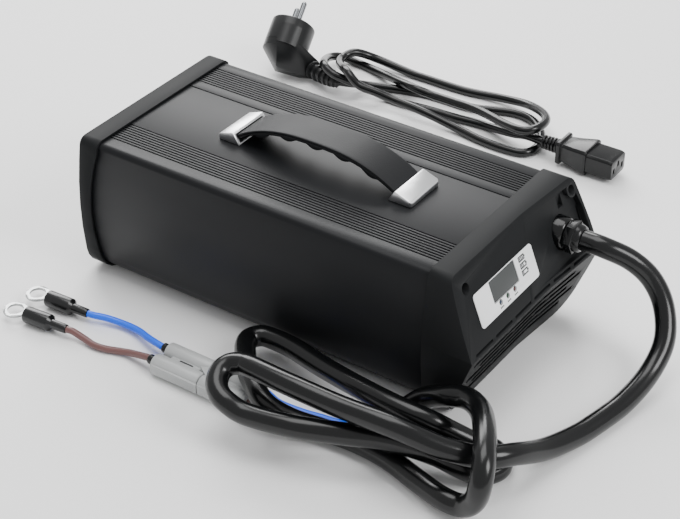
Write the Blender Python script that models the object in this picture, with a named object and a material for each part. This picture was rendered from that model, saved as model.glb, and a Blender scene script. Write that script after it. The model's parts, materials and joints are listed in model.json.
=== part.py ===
"""Battery charger: a grooved aluminium housing with a carrying handle, its battery cable and its mains lead.

All sizes are in millimetres. X runs along the housing to the display end and is measured from the middle of the housing, Z is up, and the ground
is Z = 0. The finished objects are moved along X so that the frame's origin is under the middle of the whole charger.
"""

import math

import bmesh
import bpy
from mathutils import Matrix, Vector

for old in list(bpy.data.objects):
    bpy.data.objects.remove(old, do_unlink=True)

mm = 0.001
gap = 0.3

# Housing
housingLength = 305.0
capTop = 111.0
capStep = 1.8
footHeight = 1.5
bodyBottom = 4.0
wall = 3.0
topHalf = 75.5
middleHalf = 84.4
bottomHalf = 77.0
middleHeight = 58.0
topRadius = 7.0
middleReach = 37.0
bottomRadius = 18.0
rearCapLength = 16.5
frontCapLength = 16.0
capOverlap = 9.5

# Grooves in the top
grooveFirst = 39.0
groovePitch = 2.7
grooveCount = 9
grooveWidth = 1.1
grooveDepth = 0.8
loneGroove = 29.0

# Nose of the display end
waistHeight = 56.0
noseReach = 22.0
lowerSlope = math.tan(math.radians(20))
rimStart = 15.0
rimSlope = 5.0 / 66.0
noseWall = 3.5
frontScrewHeight = 98.5
rearScrewHeight = 103.0
frontScrewSide = -64.2
rearScrewSide = 70.0
wellRadius = 3.3
wellDepth = 1.5
bossRadius = 5.2
ventLength = 20.7
ventPitch = 25.0

# Display
displayWidth = 73.5
displayHeight = 24.5
displayThick = 0.5
displaySide = -24.0
displayCentre = 80.5
windowWidth = 30.5
windowHeight = 14.7
lampRadius = 1.2

# Handle
handleCentre = 8.0
handleSide = -2.0
handleSpan = 134.4
handleRise = 16.9
strapWidth = 29.6
strapThick = 4.0
strapEnd = 114.9
clampWidth = 35.6
clampMouth = 5.5
ridgePitch = 22.3
ridgeDepth = 2.4

# Cable gland and battery cable
glandSide = 51.0
glandHeight = 80.5
glandRadius = 11.5
glandStand = 5.5
glandLength = 11.5
glandReach = 23.4
cableDiameter = 14.8
coreDiameter = 5.0

# Fan and mains inlet in the rear cap
fanSize = 60.0
fanDepth = 15.0
fanSide = 34.0
fanHeight = 55.0
fanBore = 28.3
hubRadius = 13.0
shaftRadius = 1.5
shaftPlay = 0.08
inletSide = -38.0
inletWidth = 27.0
inletHeight = 19.6

# Power connector, ring terminals
connectorSide = -138.0
connectorWidth = 28.0
connectorThick = 12.7
connectorLeft = -37.0
connectorRight = 43.0
poleOffset = 7.5
sleeveHeight = 6.4

# Mains lead
mainsDiameter = 7.2
mainsAxis = 12.0

leftEnd = -housingLength / 2
rightEnd = housingLength / 2
glandSeat = rightEnd + glandStand
glandEnd = glandSeat + glandReach
wellFloor = rightEnd - wellDepth
beyond = rightEnd + 40
shellLeft = leftEnd + rearCapLength - capOverlap
shellRight = rightEnd - frontCapLength + capOverlap - 2
bodyTop = capTop - capStep
capBottom = footHeight + gap
guardReach = 2.8
middle = Vector(((leftEnd - guardReach + glandEnd) / 2, 0, 0))


def material(name, colour, metallic=0.0, roughness=0.5):
    made = bpy.data.materials.new(name)
    made.use_nodes = True
    shader = made.node_tree.nodes["Principled BSDF"]
    shader.inputs["Base Color"].default_value = (*colour, 1.0)
    shader.inputs["Metallic"].default_value = metallic
    shader.inputs["Roughness"].default_value = roughness
    made.diffuse_color = (*colour, 1.0)
    return made


def node(name, bm, finish, smooth=30.0, cutter=False):
    """Turns a bmesh in millimetres into an object, and a cutter into a hidden one."""
    bmesh.ops.recalc_face_normals(bm, faces=bm.faces)
    bmesh.ops.translate(bm, vec=-middle, verts=bm.verts)
    bmesh.ops.scale(bm, vec=(mm, mm, mm), verts=bm.verts)
    mesh = bpy.data.meshes.new(name)
    bm.to_mesh(mesh)
    bm.free()
    made = bpy.data.objects.new(name, mesh)
    bpy.context.scene.collection.objects.link(made)
    if cutter:
        made.hide_render = True
        made.display_type = "WIRE"
        return made
    for face in mesh.polygons:
        face.use_smooth = True
    mesh.set_sharp_from_angle(angle=math.radians(smooth))
    mesh.materials.append(material(name, *finish))
    return made


def combine(made, other, operation):
    step = made.modifiers.new(operation.title(), "BOOLEAN")
    step.operation = operation
    step.solver = "EXACT"
    step.object = other


def cut(made, *cutters):
    for other in cutters:
        combine(made, other, "DIFFERENCE")


def join(made, *others):
    for other in others:
        combine(made, other, "UNION")


def fillet(corners, radii, steps):
    """The closed outline with each corner rounded to its radius."""
    outline = []
    for index, corner in enumerate(corners):
        here = Vector(corner)
        back = (Vector(corners[index - 1]) - here).normalized()
        ahead = (Vector(corners[(index + 1) % len(corners)]) - here).normalized()
        half = back.angle(ahead) / 2
        radius = radii[index]
        if radius <= 0:
            outline.append((here.x, here.y))
            continue
        reach = radius / math.tan(half)
        centre = here + (back + ahead).normalized() * (radius / math.sin(half))
        first = here + back * reach - centre
        last = here + ahead * reach - centre
        turn = first.angle_signed(last)
        for step in range(steps[index] + 1):
            angle = -turn * step / steps[index]
            point = centre + Matrix.Rotation(angle, 2) @ first
            outline.append((point.x, point.y))
    return outline


def section(inset, lift=0.0, grooves=False):
    """The housing's outline across its length, drawn in by the inset, as (Y, Z)."""
    top = capTop - inset
    bottom = capBottom + inset + lift
    right = [
        (bottomHalf - inset, bottom),
        (middleHalf - inset, middleHeight),
        (topHalf - inset, top),
    ]
    corners = [(-y, z) for y, z in reversed(right)] + right
    bulge = math.atan2(middleHalf - bottomHalf, middleHeight - bottom) + math.atan2(middleHalf - topHalf, top - middleHeight)
    upper = max(topRadius - inset, 1.0)
    side = middleReach / math.tan(abs(bulge) / 2)
    lower = max(bottomRadius - inset, 1.0)
    outline = fillet(corners, [upper, side, lower, lower, side, upper], [4, 4, 5, 5, 4, 4])
    if grooves:
        rear = [grooveFirst + groovePitch * step for step in range(grooveCount)]
        places = sorted([-y for y in rear] + rear + [loneGroove], reverse=True)
        for y in places:
            left = y - grooveWidth / 2
            right = y + grooveWidth / 2
            floor = top - grooveDepth
            outline += [(right, top), (right, floor), (left, floor), (left, top)]
    return outline


def along(axis, a, b, level):
    if axis == "X":
        return (level, a, b)
    if axis == "Y":
        return (a, level, b)
    return (a, b, level)


def loft(rings, closed=False):
    """Joins rings of equal length. The ends are filled, or joined to each other when closed."""
    bm = bmesh.new()
    rows = [[bm.verts.new(point) for point in ring] for ring in rings]
    pairs = list(zip(rows, rows[1:]))
    if closed:
        pairs.append((rows[-1], rows[0]))
    for low, high in pairs:
        for index in range(len(low)):
            after = (index + 1) % len(low)
            bm.faces.new((low[index], low[after], high[after], high[index]))
    if not closed:
        bm.faces.new(rows[0])
        bm.faces.new(rows[-1])
    return bm


def prism(outline, axis, low, high):
    return loft([[along(axis, a, b, level) for a, b in outline] for level in (low, high)])


def block(x0, x1, y0, y1, z0, z1):
    return prism([(x0, y0), (x1, y0), (x1, y1), (x0, y1)], "Z", z0, z1)


def turned(profile, sides, frame=None):
    """Turns (radius, height) points about local Z. A profile that starts and ends on the axis is solid."""
    frame = frame or Matrix()
    ring = profile[0][0] > 0
    bm = bmesh.new()
    rows = []
    for radius, height in profile:
        if radius <= 0:
            rows.append([bm.verts.new((0, 0, height))] * sides)
            continue
        turns = [2 * math.pi * side / sides for side in range(sides)]
        rows.append([bm.verts.new((radius * math.cos(t), radius * math.sin(t), height)) for t in turns])
    pairs = list(zip(rows, rows[1:]))
    if ring:
        pairs.append((rows[-1], rows[0]))
    for low, high in pairs:
        for side in range(sides):
            after = (side + 1) % sides
            corners = []
            for vert in (low[side], low[after], high[after], high[side]):
                if vert not in corners:
                    corners.append(vert)
            bm.faces.new(corners)
    bmesh.ops.transform(bm, matrix=frame, verts=bm.verts)
    return bm


def place(origin, axis, spin=0.0):
    """A frame at the origin whose local Z follows the axis."""
    turn = Vector(axis).normalized().to_track_quat("Z", "Y").to_matrix().to_4x4()
    return Matrix.Translation(origin) @ turn @ Matrix.Rotation(spin, 4, "Z")


def hull(points):
    bm = bmesh.new()
    for point in points:
        bm.verts.new(point)
    made = bmesh.ops.convex_hull(bm, input=bm.verts)
    spare = [item for item in made["geom_interior"] if isinstance(item, bmesh.types.BMVert)]
    bmesh.ops.delete(bm, geom=spare, context="VERTS")
    bmesh.ops.dissolve_limit(bm, angle_limit=0.002, verts=bm.verts, edges=bm.edges)
    return bm


def several(parts):
    """One bmesh from several, for a cutter with separate bodies."""
    whole = bmesh.new()
    for part in parts:
        mesh = bpy.data.meshes.new("piece")
        part.to_mesh(mesh)
        part.free()
        whole.from_mesh(mesh)
        bpy.data.meshes.remove(mesh)
    return whole


def smoothRoute(points, steps=12):
    """Points along a smooth curve through the given ones."""
    ends = [Vector(point) for point in points]
    ends = [2 * ends[0] - ends[1]] + ends + [2 * ends[-1] - ends[-2]]
    route = []
    for a, b, c, d in zip(ends, ends[1:], ends[2:], ends[3:]):
        for step in range(steps):
            t = step / steps
            bend = 2 * b + (c - a) * t + (2 * a - 5 * b + 4 * c - d) * t * t
            route.append((bend + (3 * b - a - 3 * c + d) * t * t * t) / 2)
    route.append(ends[-2])
    return route


def sampled(points, count, floor):
    """Keeps count points of the smooth curve, closer together where it bends, and none below the floor."""
    route = smoothRoute(points)
    weight = [0.0]
    for before, here, after in zip(route, route[1:], route[2:] + [2 * route[-1] - route[-2]]):
        turn = (here - before).angle(after - here, 0.0)
        weight.append(weight[-1] + (here - before).length / 35 + turn / 0.55)
    kept = []
    for index in range(count):
        wanted = weight[-1] * index / (count - 1)
        place = min(range(len(route)), key=lambda at: abs(weight[at] - wanted))
        kept.append(route[place])
    for here in kept:
        here.z = max(here.z, floor)
    return kept


def cord(name, points, diameter, count, finish, roundness=2):
    curve = bpy.data.curves.new(name, "CURVE")
    curve.dimensions = "3D"
    curve.bevel_depth = diameter / 2 * mm
    curve.bevel_resolution = roundness
    curve.use_fill_caps = True
    route = sampled(points, count, diameter / 2)
    line = curve.splines.new("POLY")
    line.points.add(len(route) - 1)
    for point, here in zip(line.points, route):
        point.co = (*((here - middle) * mm), 1.0)
    curve.materials.append(material(name, *finish))
    made = bpy.data.objects.new(name, curve)
    bpy.context.scene.collection.objects.link(made)
    return made


blackPowder = ((0.016, 0.016, 0.017), 0.0, 0.5)
blackPlastic = ((0.018, 0.018, 0.019), 0.0, 0.45)
glossBlack = ((0.012, 0.012, 0.013), 0.0, 0.25)
cableBlack = ((0.014, 0.014, 0.015), 0.0, 0.3)
whitePrint = ((0.85, 0.85, 0.86), 0.0, 0.4)
greyGlass = ((0.12, 0.13, 0.13), 0.0, 0.25)
brightMetal = ((0.72, 0.73, 0.74), 1.0, 0.25)
greyPlastic = ((0.5, 0.51, 0.51), 0.0, 0.45)
blueSheath = ((0.02, 0.13, 0.62), 0.0, 0.4)
brownSheath = ((0.2, 0.1, 0.085), 0.0, 0.4)
boardGreen = ((0.02, 0.12, 0.05), 0.0, 0.5)
copper = ((0.6, 0.28, 0.12), 1.0, 0.35)
aluminium = ((0.6, 0.61, 0.62), 1.0, 0.4)

# Extruded shell, open at both ends
shell = node("body_shell", prism(section(capStep, 0.4, True), "X", shellLeft, shellRight), blackPowder)
hollow = prism(section(capStep + wall, 0.4), "X", shellLeft - 5, shellRight + 5)
cut(shell, node("shell_hollow", hollow, None, cutter=True))

# Rear cap, a cup over the end of the shell
sleeveInset = capStep - gap
rearRings = [
    (leftEnd, 1.4, 0),
    (leftEnd + 0.5, 0.5, 0),
    (leftEnd + 1.6, 0.0, 0),
    (leftEnd + rearCapLength, 0.0, 0),
    (leftEnd + rearCapLength, sleeveInset, 0.4),
    (shellLeft - gap, sleeveInset, 0.4),
    (shellLeft - gap, 4.5, 0.4),
    (leftEnd + 3.5, 4.5, 0.4),
]
rings = [[(x, y, z) for y, z in section(inset, lift)] for x, inset, lift in rearRings]
rearCap = node("rear_cap", loft(rings), blackPlastic)


def crescent(side):
    """The hollow edge of the rear cap on one side, nearer the end at mid height."""
    rim = leftEnd + rearCapLength
    high, low = 101.0, 8.0
    arc = []
    for step in range(9):
        share = step / 8
        arc.append((rim - 0.2 - 5.5 * math.sin(math.pi * share) ** 0.8, high - (high - low) * share))
    return prism(arc + [(rim + 4, low), (rim + 4, high)], "Y", *sorted((side * 66, side * 100)))


fanHole = turned([(0, -12), (fanBore, -12), (fanBore, 12), (0, 12)], 28, place((leftEnd, fanSide, fanHeight), (1, 0, 0)))
inletGap = inletWidth / 2 + gap
inletHole = block(
    leftEnd - 5, leftEnd + 8, inletSide - inletGap, inletSide + inletGap,
    fanHeight - inletHeight / 2 - gap, fanHeight + inletHeight / 2 + gap,
)
rearScrews = [(-67.0, 97.0), (67.0, 97.0), (-66.0, 14.0), (66.0, 14.0)]
rearWells = [
    turned([(0, -3), (3.4, -3), (3.4, 2.0), (1.8, 2.0), (1.8, 9), (0, 9)], 12, place((leftEnd, y, z), (1, 0, 0)))
    for y, z in rearScrews
]
cut(
    rearCap,
    node("rear_crescents", several([crescent(-1), crescent(1)]), None, cutter=True),
    node("rear_openings", several([fanHole, inletHole] + rearWells), None, cutter=True),
)
for index, (y, z) in enumerate(rearScrews):
    profile = [(0, 1.0), (1.3, 1.0), (1.3, 0.2), (2.9, 0.2), (2.9, 1.7), (1.5, 1.7), (1.5, 8), (0, 8)]
    node(f"rear_screw_{index + 1}", turned(profile, 10, place((leftEnd, y, z), (1, 0, 0))), ((0.05, 0.05, 0.05), 1.0, 0.4))


# Display end cap: the slanted nose is the hardest feature, a heightfield over the housing's own outline
def noseFace(y, z, rim=True):
    """X of the nose above the point (Y, Z)."""
    topReach = rightEnd
    slope = noseReach / (capTop - waistHeight)
    x = topReach + (capTop - z) * slope
    if z < waistHeight:
        x = topReach + noseReach - (waistHeight - z) * lowerSlope
    if rim:
        x += max(0.0, y - rimStart) * rimSlope
    return x


def noseSolid(outline, low, shift=0.0, rim=True):
    """A prism along X from low to the nose's face, moved back by the shift."""
    bm = prism(outline, "X", low, beyond)
    for point, normal in (((0, 0, waistHeight), (0, 0, 1)), ((0, rimStart, 0), (0, 1, 0))):
        everything = bm.verts[:] + bm.edges[:] + bm.faces[:]
        bmesh.ops.bisect_plane(bm, geom=everything, plane_co=point, plane_no=normal, dist=1e-4)
    for vert in bm.verts:
        if abs(vert.co.x - beyond) < 0.5:
            vert.co.x = noseFace(vert.co.y, vert.co.z, rim) - shift
    return bm


rimLeft = rightEnd - frontCapLength
frontCap = node("front_cap", noseSolid(section(0), rimLeft), blackPlastic)
socket = prism(section(sleeveInset, 0.4), "X", rimLeft - 5, shellRight + gap)
cavity = noseSolid(section(noseWall + 0.5, 0.4), shellRight - 3, noseWall * 1.077, rim=False)
screwPlaces = [(frontScrewSide, frontScrewHeight), (rearScrewSide, rearScrewHeight)]
postRadius = bossRadius + 1
posts = [
    turned([(0, 0), (postRadius, 0), (postRadius, 50), (0, 50)], 16, place((shellRight + 2, y, z), (1, 0, 0)))
    for y, z in screwPlaces
]
glandPost = turned(
    [(0, 0), (glandRadius + 5.5, 0), (glandRadius + 5.5, 50), (0, 50)], 28, place((glandSeat - noseWall, glandSide, glandHeight), (1, 0, 0))
)
cavityCutter = node("nose_cavity", cavity, None, cutter=True)
cut(cavityCutter, node("nose_posts", several(posts + [glandPost]), None, cutter=True))

recessOutline = fillet(
    [(12, 61), (78.6, 61), (76.6, 88), (72.0, 106.5), (12, 106.5)], [0, 3, 8, 5, 0], [1, 3, 3, 3, 1]
)
recess = node("nose_recess", noseSolid(recessOutline, beyond + 30, rim=False), None, cutter=True)
bossShape = [(0, 0), (bossRadius, 0), (bossRadius, 60), (0, 60)]
boss = turned(bossShape, 20, place((wellFloor - 6, rearScrewSide, rearScrewHeight), (1, 0, 0)))
cut(recess, node("recess_boss", boss, None, cutter=True))
pockets = [
    block(noseFace(56, 98, False) - 2.3, beyond, 55, 61, 95, 105),
    block(noseFace(76, 84, False) - 2.3, beyond, 74.4, 76.4, 72, 90),
]
seatRadius = glandRadius + gap
seat = turned([(0, 0), (seatRadius, 0), (seatRadius, 40), (0, 40)], 28, place((glandSeat, glandSide, glandHeight), (1, 0, 0)))
glandHole = turned(
    [(0, -8), (8, -8), (8, 2), (0, 2)], 20, place((glandSeat, glandSide, glandHeight), (1, 0, 0))
)
wells = [
    turned([(0, -4), (1.8, -4), (1.8, 0), (wellRadius, 0), (wellRadius, 30), (0, 30)], 16, place((wellFloor, y, z), (1, 0, 0)))
    for y, z in screwPlaces
]
slots = []
for index in range(6):
    y = -74.5 + ventPitch * index
    slots.append(block(rightEnd - 4, beyond, y, y + ventLength, waistHeight + 1.6, waistHeight + 3.4))
for row in range(5):
    z = waistHeight - 6.5 - 7.4 * row
    start = 5.0 - bottomHalf + (row % 2) * 12
    for index in range(3):
        y = start + 44.0 * index
        slots.append(block(rightEnd - 4, beyond, y, min(y + 40.0, bottomHalf - 4), z - 1.1, z + 1.1))
cut(
    frontCap,
    node("nose_socket", socket, None, cutter=True),
    cavityCutter,
    recess,
    node("nose_pockets", several(pockets), None, cutter=True),
    node("gland_seat", seat, None, cutter=True),
    node("gland_hole", glandHole, None, cutter=True),
    node("nose_wells", several(wells), None, cutter=True),
    node("nose_slots", several(slots), None, cutter=True),
)
for index, (y, z) in enumerate(screwPlaces):
    profile = [(0, -3.5), (1.5, -3.5), (1.5, gap), (2.9, gap), (2.9, 2.8), (1.4, 2.8), (1.4, 1.8), (0, 1.8)]
    node(f"front_screw_{index + 1}", turned(profile, 12, place((wellFloor, y, z), (1, 0, 0))), ((0.05, 0.05, 0.05), 1.0, 0.4))

# Display overlay with its window and lamps, on the slanted panel
slant = math.atan2(noseReach, capTop - waistHeight)
panelOrigin = Vector((noseFace(displaySide, displayCentre), displaySide, displayCentre))
panelUp = Vector((-math.sin(slant), 0, math.cos(slant)))
panelOut = Vector((math.cos(slant), 0, math.sin(slant)))
panelFrame = Matrix.Translation(panelOrigin) @ Matrix((Vector((0, 1, 0)), panelUp, panelOut)).transposed().to_4x4()


def onPanel(bm):
    bmesh.ops.transform(bm, matrix=panelFrame, verts=bm.verts)
    return bm


def plate(width, height, radius, low, high, side=0.0, up=0.0):
    half, tall = width / 2, height / 2
    corners = [(side - half, up - tall), (side + half, up - tall), (side + half, up + tall), (side - half, up + tall)]
    return onPanel(prism(fillet(corners, [radius] * 4, [4] * 4), "Z", low, high))


windowPlace = (-2.0, 3.9)
lampPlaces = [(-11.2, -6.1), (-2.2, -6.1), (6.8, -6.1)]
overlay = node("display_overlay", plate(displayWidth, displayHeight, 2.5, gap, gap + displayThick), whitePrint)
openings = [plate(windowWidth + 2 * gap, windowHeight + 2 * gap, 0.6, -1, 3, *windowPlace)]
for side, up in lampPlaces:
    reach = lampRadius + gap
    openings.append(onPanel(turned([(0, -1), (reach, -1), (reach, 3), (0, 3)], 12, Matrix.Translation((side, up, 0)))))
cut(overlay, node("overlay_openings", several(openings), None, cutter=True))
node("display_window", plate(windowWidth, windowHeight, 0.5, gap, gap + displayThick - 0.1, *windowPlace), greyGlass)
lampColours = [(0.05, 0.2, 0.5), (0.05, 0.35, 0.1), (0.45, 0.05, 0.04)]
for index, (side, up) in enumerate(lampPlaces):
    profile = [(0, gap), (lampRadius, gap), (lampRadius, gap + 0.5), (0.6, gap + 0.8), (0, gap + 0.85)]
    lamp = onPanel(turned(profile, 10, Matrix.Translation((side, up, 0))))
    node(f"lamp_{index + 1}", lamp, (lampColours[index], 0.0, 0.3))
boardBack = -noseWall * 1.077 * math.cos(slant) - gap
node("display_board", plate(displayWidth - 1.5, displayHeight - 2.5, 1.0, boardBack - 1.6, boardBack), boardGreen)

# Cable gland: base with a threaded spigot, dome nut outside, lock nut inside
glandFrame = place((glandSeat, glandSide, glandHeight), (1, 0, 0))
nutStart = glandLength + 2 * gap
nutEnd = glandReach
spigot = glandRadius - 3.2
nutBore = spigot + gap
nutCorner = glandRadius + 0.4
base = [
    (0, -8.5), (7.7, -8.5), (7.7, gap), (glandRadius, gap), (glandRadius, glandLength - 0.8),
    (glandRadius - 0.8, glandLength + gap), (spigot, glandLength + gap), (spigot, nutEnd - 5), (0, nutEnd - 5),
]
node("gland_body", turned(base, 24, glandFrame), glossBlack)
dome = node(
    "gland_dome",
    turned(
        [(nutBore, nutStart), (glandRadius - 0.6, nutStart), (glandRadius - 0.6, nutStart + 1), (nutBore, nutStart + 1)], 20, glandFrame
    ),
    glossBlack,
)
hexRings = []
for radius, height in ((nutCorner, nutStart + 0.9), (nutCorner, nutStart + 6.2), (nutCorner - 0.9, nutStart + 6.8)):
    corners = [(math.cos(math.pi / 3 * side), math.sin(math.pi / 3 * side)) for side in range(6)]
    hexRings.append([glandFrame @ Vector((radius * c, radius * s, height)) for c, s in corners])
hexagon = loft(hexRings)
hexBody = node("dome_hexagon", hexagon, None, cutter=True)
capProfile = [
    (0, nutStart + 6), (10.1, nutStart + 6), (9.9, nutEnd - 2.4), (9.0, nutEnd - 0.7), (8.1, nutEnd), (0, nutEnd)
]
domeCap = node("dome_cap", turned(capProfile, 20, glandFrame), None, cutter=True)
bore = node(
    "dome_bore", turned([(0, nutStart - 5), (nutBore, nutStart - 5), (nutBore, nutEnd - 4.7), (0, nutEnd - 4.7)], 20, glandFrame),
    None, cutter=True,
)
join(dome, hexBody, domeCap)
cut(dome, bore)
lockCorners = [(math.cos(math.pi / 3 * side), math.sin(math.pi / 3 * side)) for side in range(6)]
lockLow = -noseWall - gap - 4.0
lockRings = [[glandFrame @ Vector((13 * c, 13 * s, height)) for c, s in lockCorners] for height in (lockLow, lockLow + 4.0)]
lockNut = node("gland_locknut", loft(lockRings), glossBlack)
lockBore = turned([(0, lockLow - 3), (8, lockLow - 3), (8, lockLow + 8), (0, lockLow + 8)], 20, glandFrame)
cut(lockNut, node("lock_bore", lockBore, None, cutter=True))

# Carrying handle: a strap with finger ridges below, held in two bright wedges
clampInner = handleCentre + handleSpan / 2 - clampMouth
clampBase = bodyTop + gap
clampShape = [
    (clampInner, clampBase), (clampInner + 4.8, clampBase + 8.0), (clampInner + 6.0, clampBase + 8.5), (clampInner + 16.8, clampBase + 4.7),
    (clampInner + 18.5, clampBase + 3.3), (clampInner + 18.5, clampBase),
]
slotTop = strapEnd + gap + 1.0
slotBottom = strapEnd - strapThick - gap
for name, flip in (("clamp_right", 1), ("clamp_left", -1)):
    outline = [(handleCentre + flip * (x - handleCentre), z) for x, z in clampShape]
    clamp = node(name, prism(outline, "Y", handleSide - clampWidth / 2, handleSide + clampWidth / 2), brightMetal)
    inner = handleCentre + flip * (clampInner - 3 - handleCentre)
    outer = handleCentre + flip * (clampInner + 12 - handleCentre)
    reach = strapWidth / 2 + gap
    slot = block(min(inner, outer), max(inner, outer), handleSide - reach, handleSide + reach, slotBottom, slotTop)
    cut(clamp, node(name + "_slot", slot, None, cutter=True))


def strapTop(x):
    share = abs(x - handleCentre) / (handleSpan / 2)
    return strapEnd + handleRise * max(0.0, 1 - share**2.6)


def ridge(x):
    """Depth of the finger ridges under the strap."""
    depth = 0.0
    for step in (-2, -1, 0, 1, 2):
        away = abs(x - handleCentre - step * ridgePitch) / 6.5
        if away < 1:
            depth = max(depth, ridgeDepth * math.cos(away * math.pi / 2))
    return depth


strapRings = []
stations = 39
strapReach = handleSpan / 2 + 5.5
for index in range(stations):
    x = handleCentre - strapReach + 2 * strapReach * index / (stations - 1)
    top = strapTop(x)
    low = top - strapThick - ridge(x)
    half = strapWidth / 2
    right = [
        (half - 0.6, top), (half, top - 0.5), (half, top - 1.5), (half - 0.9, top - 1.8),
        (half - 0.3, top - 2.2), (half - 0.3, min(low + 0.7, top - 3.0)), (half - 1.2, low),
    ]
    strapRings.append([(x, handleSide + y, z) for y, z in right + [(-y, z) for y, z in reversed(right)]])
node("handle_strap", loft(strapRings), blackPlastic)

# Feet under both caps
footSide = bottomHalf - bottomRadius - 8
footPlaces = [(x, y) for x in (leftEnd + rearCapLength / 2, rightEnd - 7.5) for y in (-footSide, footSide)]
for index, (x, y) in enumerate(footPlaces):
    profile = [(0, 0), (6.2, 0), (6.8, 0.5), (6.8, footHeight), (0, footHeight)]
    node(f"foot_{index + 1}", turned(profile, 16, Matrix.Translation((x, y, 0))), ((0.03, 0.03, 0.03), 0.0, 0.8))

# Mains inlet with three blades
inletX = leftEnd - gap
inlet = node("ac_inlet", block(inletX - 2.4, inletX, inletSide - 16, inletSide + 16, fanHeight - 12.5, fanHeight + 12.5), glossBlack)
inletBack = leftEnd + 21.0
inletBody = block(
    inletX - 1, inletBack, inletSide - inletWidth / 2, inletSide + inletWidth / 2,
    fanHeight - inletHeight / 2, fanHeight + inletHeight / 2,
)
join(inlet, node("inlet_body", inletBody, None, cutter=True))
socketShape = [
    (inletSide - 12.1, fanHeight - 8.2), (inletSide + 12.1, fanHeight - 8.2), (inletSide + 12.1, fanHeight + 4.2),
    (inletSide + 7.6, fanHeight + 8.2), (inletSide - 7.6, fanHeight + 8.2), (inletSide - 12.1, fanHeight + 4.2),
]
socketDepth = leftEnd + 15.0
cut(inlet, node("inlet_socket", prism(socketShape, "X", inletX - 6, socketDepth), None, cutter=True))
for name, y, z in (("inlet_blade_live", -7, -1.5), ("inlet_blade_earth", 0, 2.5), ("inlet_blade_neutral", 7, -1.5)):
    side = inletSide + y
    up = fanHeight + z
    node(name, block(leftEnd + 1.0, socketDepth - gap, side - 1, side + 1, up - 2, up + 2), ((0.7, 0.62, 0.4), 1.0, 0.3))

# Fan behind the rear cap, drawing air through a round guard
fanLeft = leftEnd + 3.5 + gap
fanFrame = place((fanLeft, fanSide, fanHeight), (1, 0, 0))
half = fanSize / 2
fanCorners = [(fanSide - half, fanHeight - half), (fanSide + half, fanHeight - half), (fanSide + half, fanHeight + half), (fanSide - half, fanHeight + half)]
housing = node("fan_frame", prism(fillet(fanCorners, [4] * 4, [3] * 4), "X", fanLeft, fanLeft + fanDepth), blackPlastic)
tunnel = turned([(0, -5), (fanBore, -5), (fanBore, fanDepth + 5), (0, fanDepth + 5)], 28, fanFrame)
cut(housing, node("fan_tunnel", tunnel, None, cutter=True))
struts = []
for name, spin in (("fan_strut_a", math.radians(45)), ("fan_strut_b", math.radians(135))):
    strut = block(-fanBore - 1.5, fanBore + 1.5, -1.5, 1.5, fanDepth - 2.6, fanDepth - 0.2)
    bmesh.ops.transform(strut, matrix=fanFrame @ Matrix.Rotation(spin, 4, "Z"), verts=strut.verts)
    struts.append(node(name, strut, None, cutter=True))
motorBase = [(0, 3.5), (shaftRadius, 3.5), (shaftRadius, fanDepth - 3), (11, fanDepth - 3), (11, fanDepth - 0.3), (0, fanDepth - 0.3)]
join(housing, *struts, node("fan_motor_base", turned(motorBase, 18, fanFrame), None, cutter=True))

hub = [
    (0, 1.2), (hubRadius - 1, 1.2), (hubRadius, 2.2), (hubRadius, fanDepth - 3 - gap),
    (shaftRadius + shaftPlay, fanDepth - 3 - gap), (shaftRadius + shaftPlay, 3.2), (0, 3.2),
]
rotor = node("fan_rotor", turned(hub, 20, fanFrame), blackPlastic)
bladeCount = 7
for index in range(bladeCount):
    rings = []
    for radius, pitch in ((hubRadius - 1.2, 48), (20.0, 38), (fanBore - 2.1, 30)):
        chord = 4.0 + radius * 0.16
        lean = math.radians(pitch)
        across = Vector((0, math.cos(lean), math.sin(lean)))
        thick = Vector((0, -math.sin(lean), math.cos(lean))) * 0.6
        centre = Vector((radius, 0, fanDepth / 2 - 0.9))
        rings.append([centre - across * chord - thick, centre + across * chord - thick, centre + across * chord + thick, centre - across * chord + thick])
    blade = loft(rings)
    turn = Matrix.Rotation(2 * math.pi * index / bladeCount, 4, "Z")
    bmesh.ops.transform(blade, matrix=fanFrame @ turn, verts=blade.verts)
    join(rotor, node(f"fan_blade_{index + 1}", blade, None, cutter=True))

guardLow = leftEnd - guardReach - fanLeft
guard = node("fan_guard", turned([(27.2, guardLow), (29.8, guardLow), (29.8, guardLow + 2.4), (27.2, guardLow + 2.4)], 24, fanFrame), ((0.4, 0.4, 0.41), 1.0, 0.35))
for radius in (20.4, 13.2, 6.0):
    ring = turned([(radius, guardLow), (radius + 1.6, guardLow), (radius + 1.6, guardLow + 1.6), (radius, guardLow + 1.6)], 18, fanFrame)
    join(guard, node(f"guard_ring_{radius:.0f}", ring, None, cutter=True))
for index, spin in enumerate((0, 90)):
    bar = block(-28.5, 28.5, -0.9, 0.9, guardLow + 0.7, guardLow + 2.2)
    bmesh.ops.transform(bar, matrix=fanFrame @ Matrix.Rotation(math.radians(spin + 45), 4, "Z"), verts=bar.verts)
    join(guard, node(f"guard_bar_{index + 1}", bar, None, cutter=True))

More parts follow.
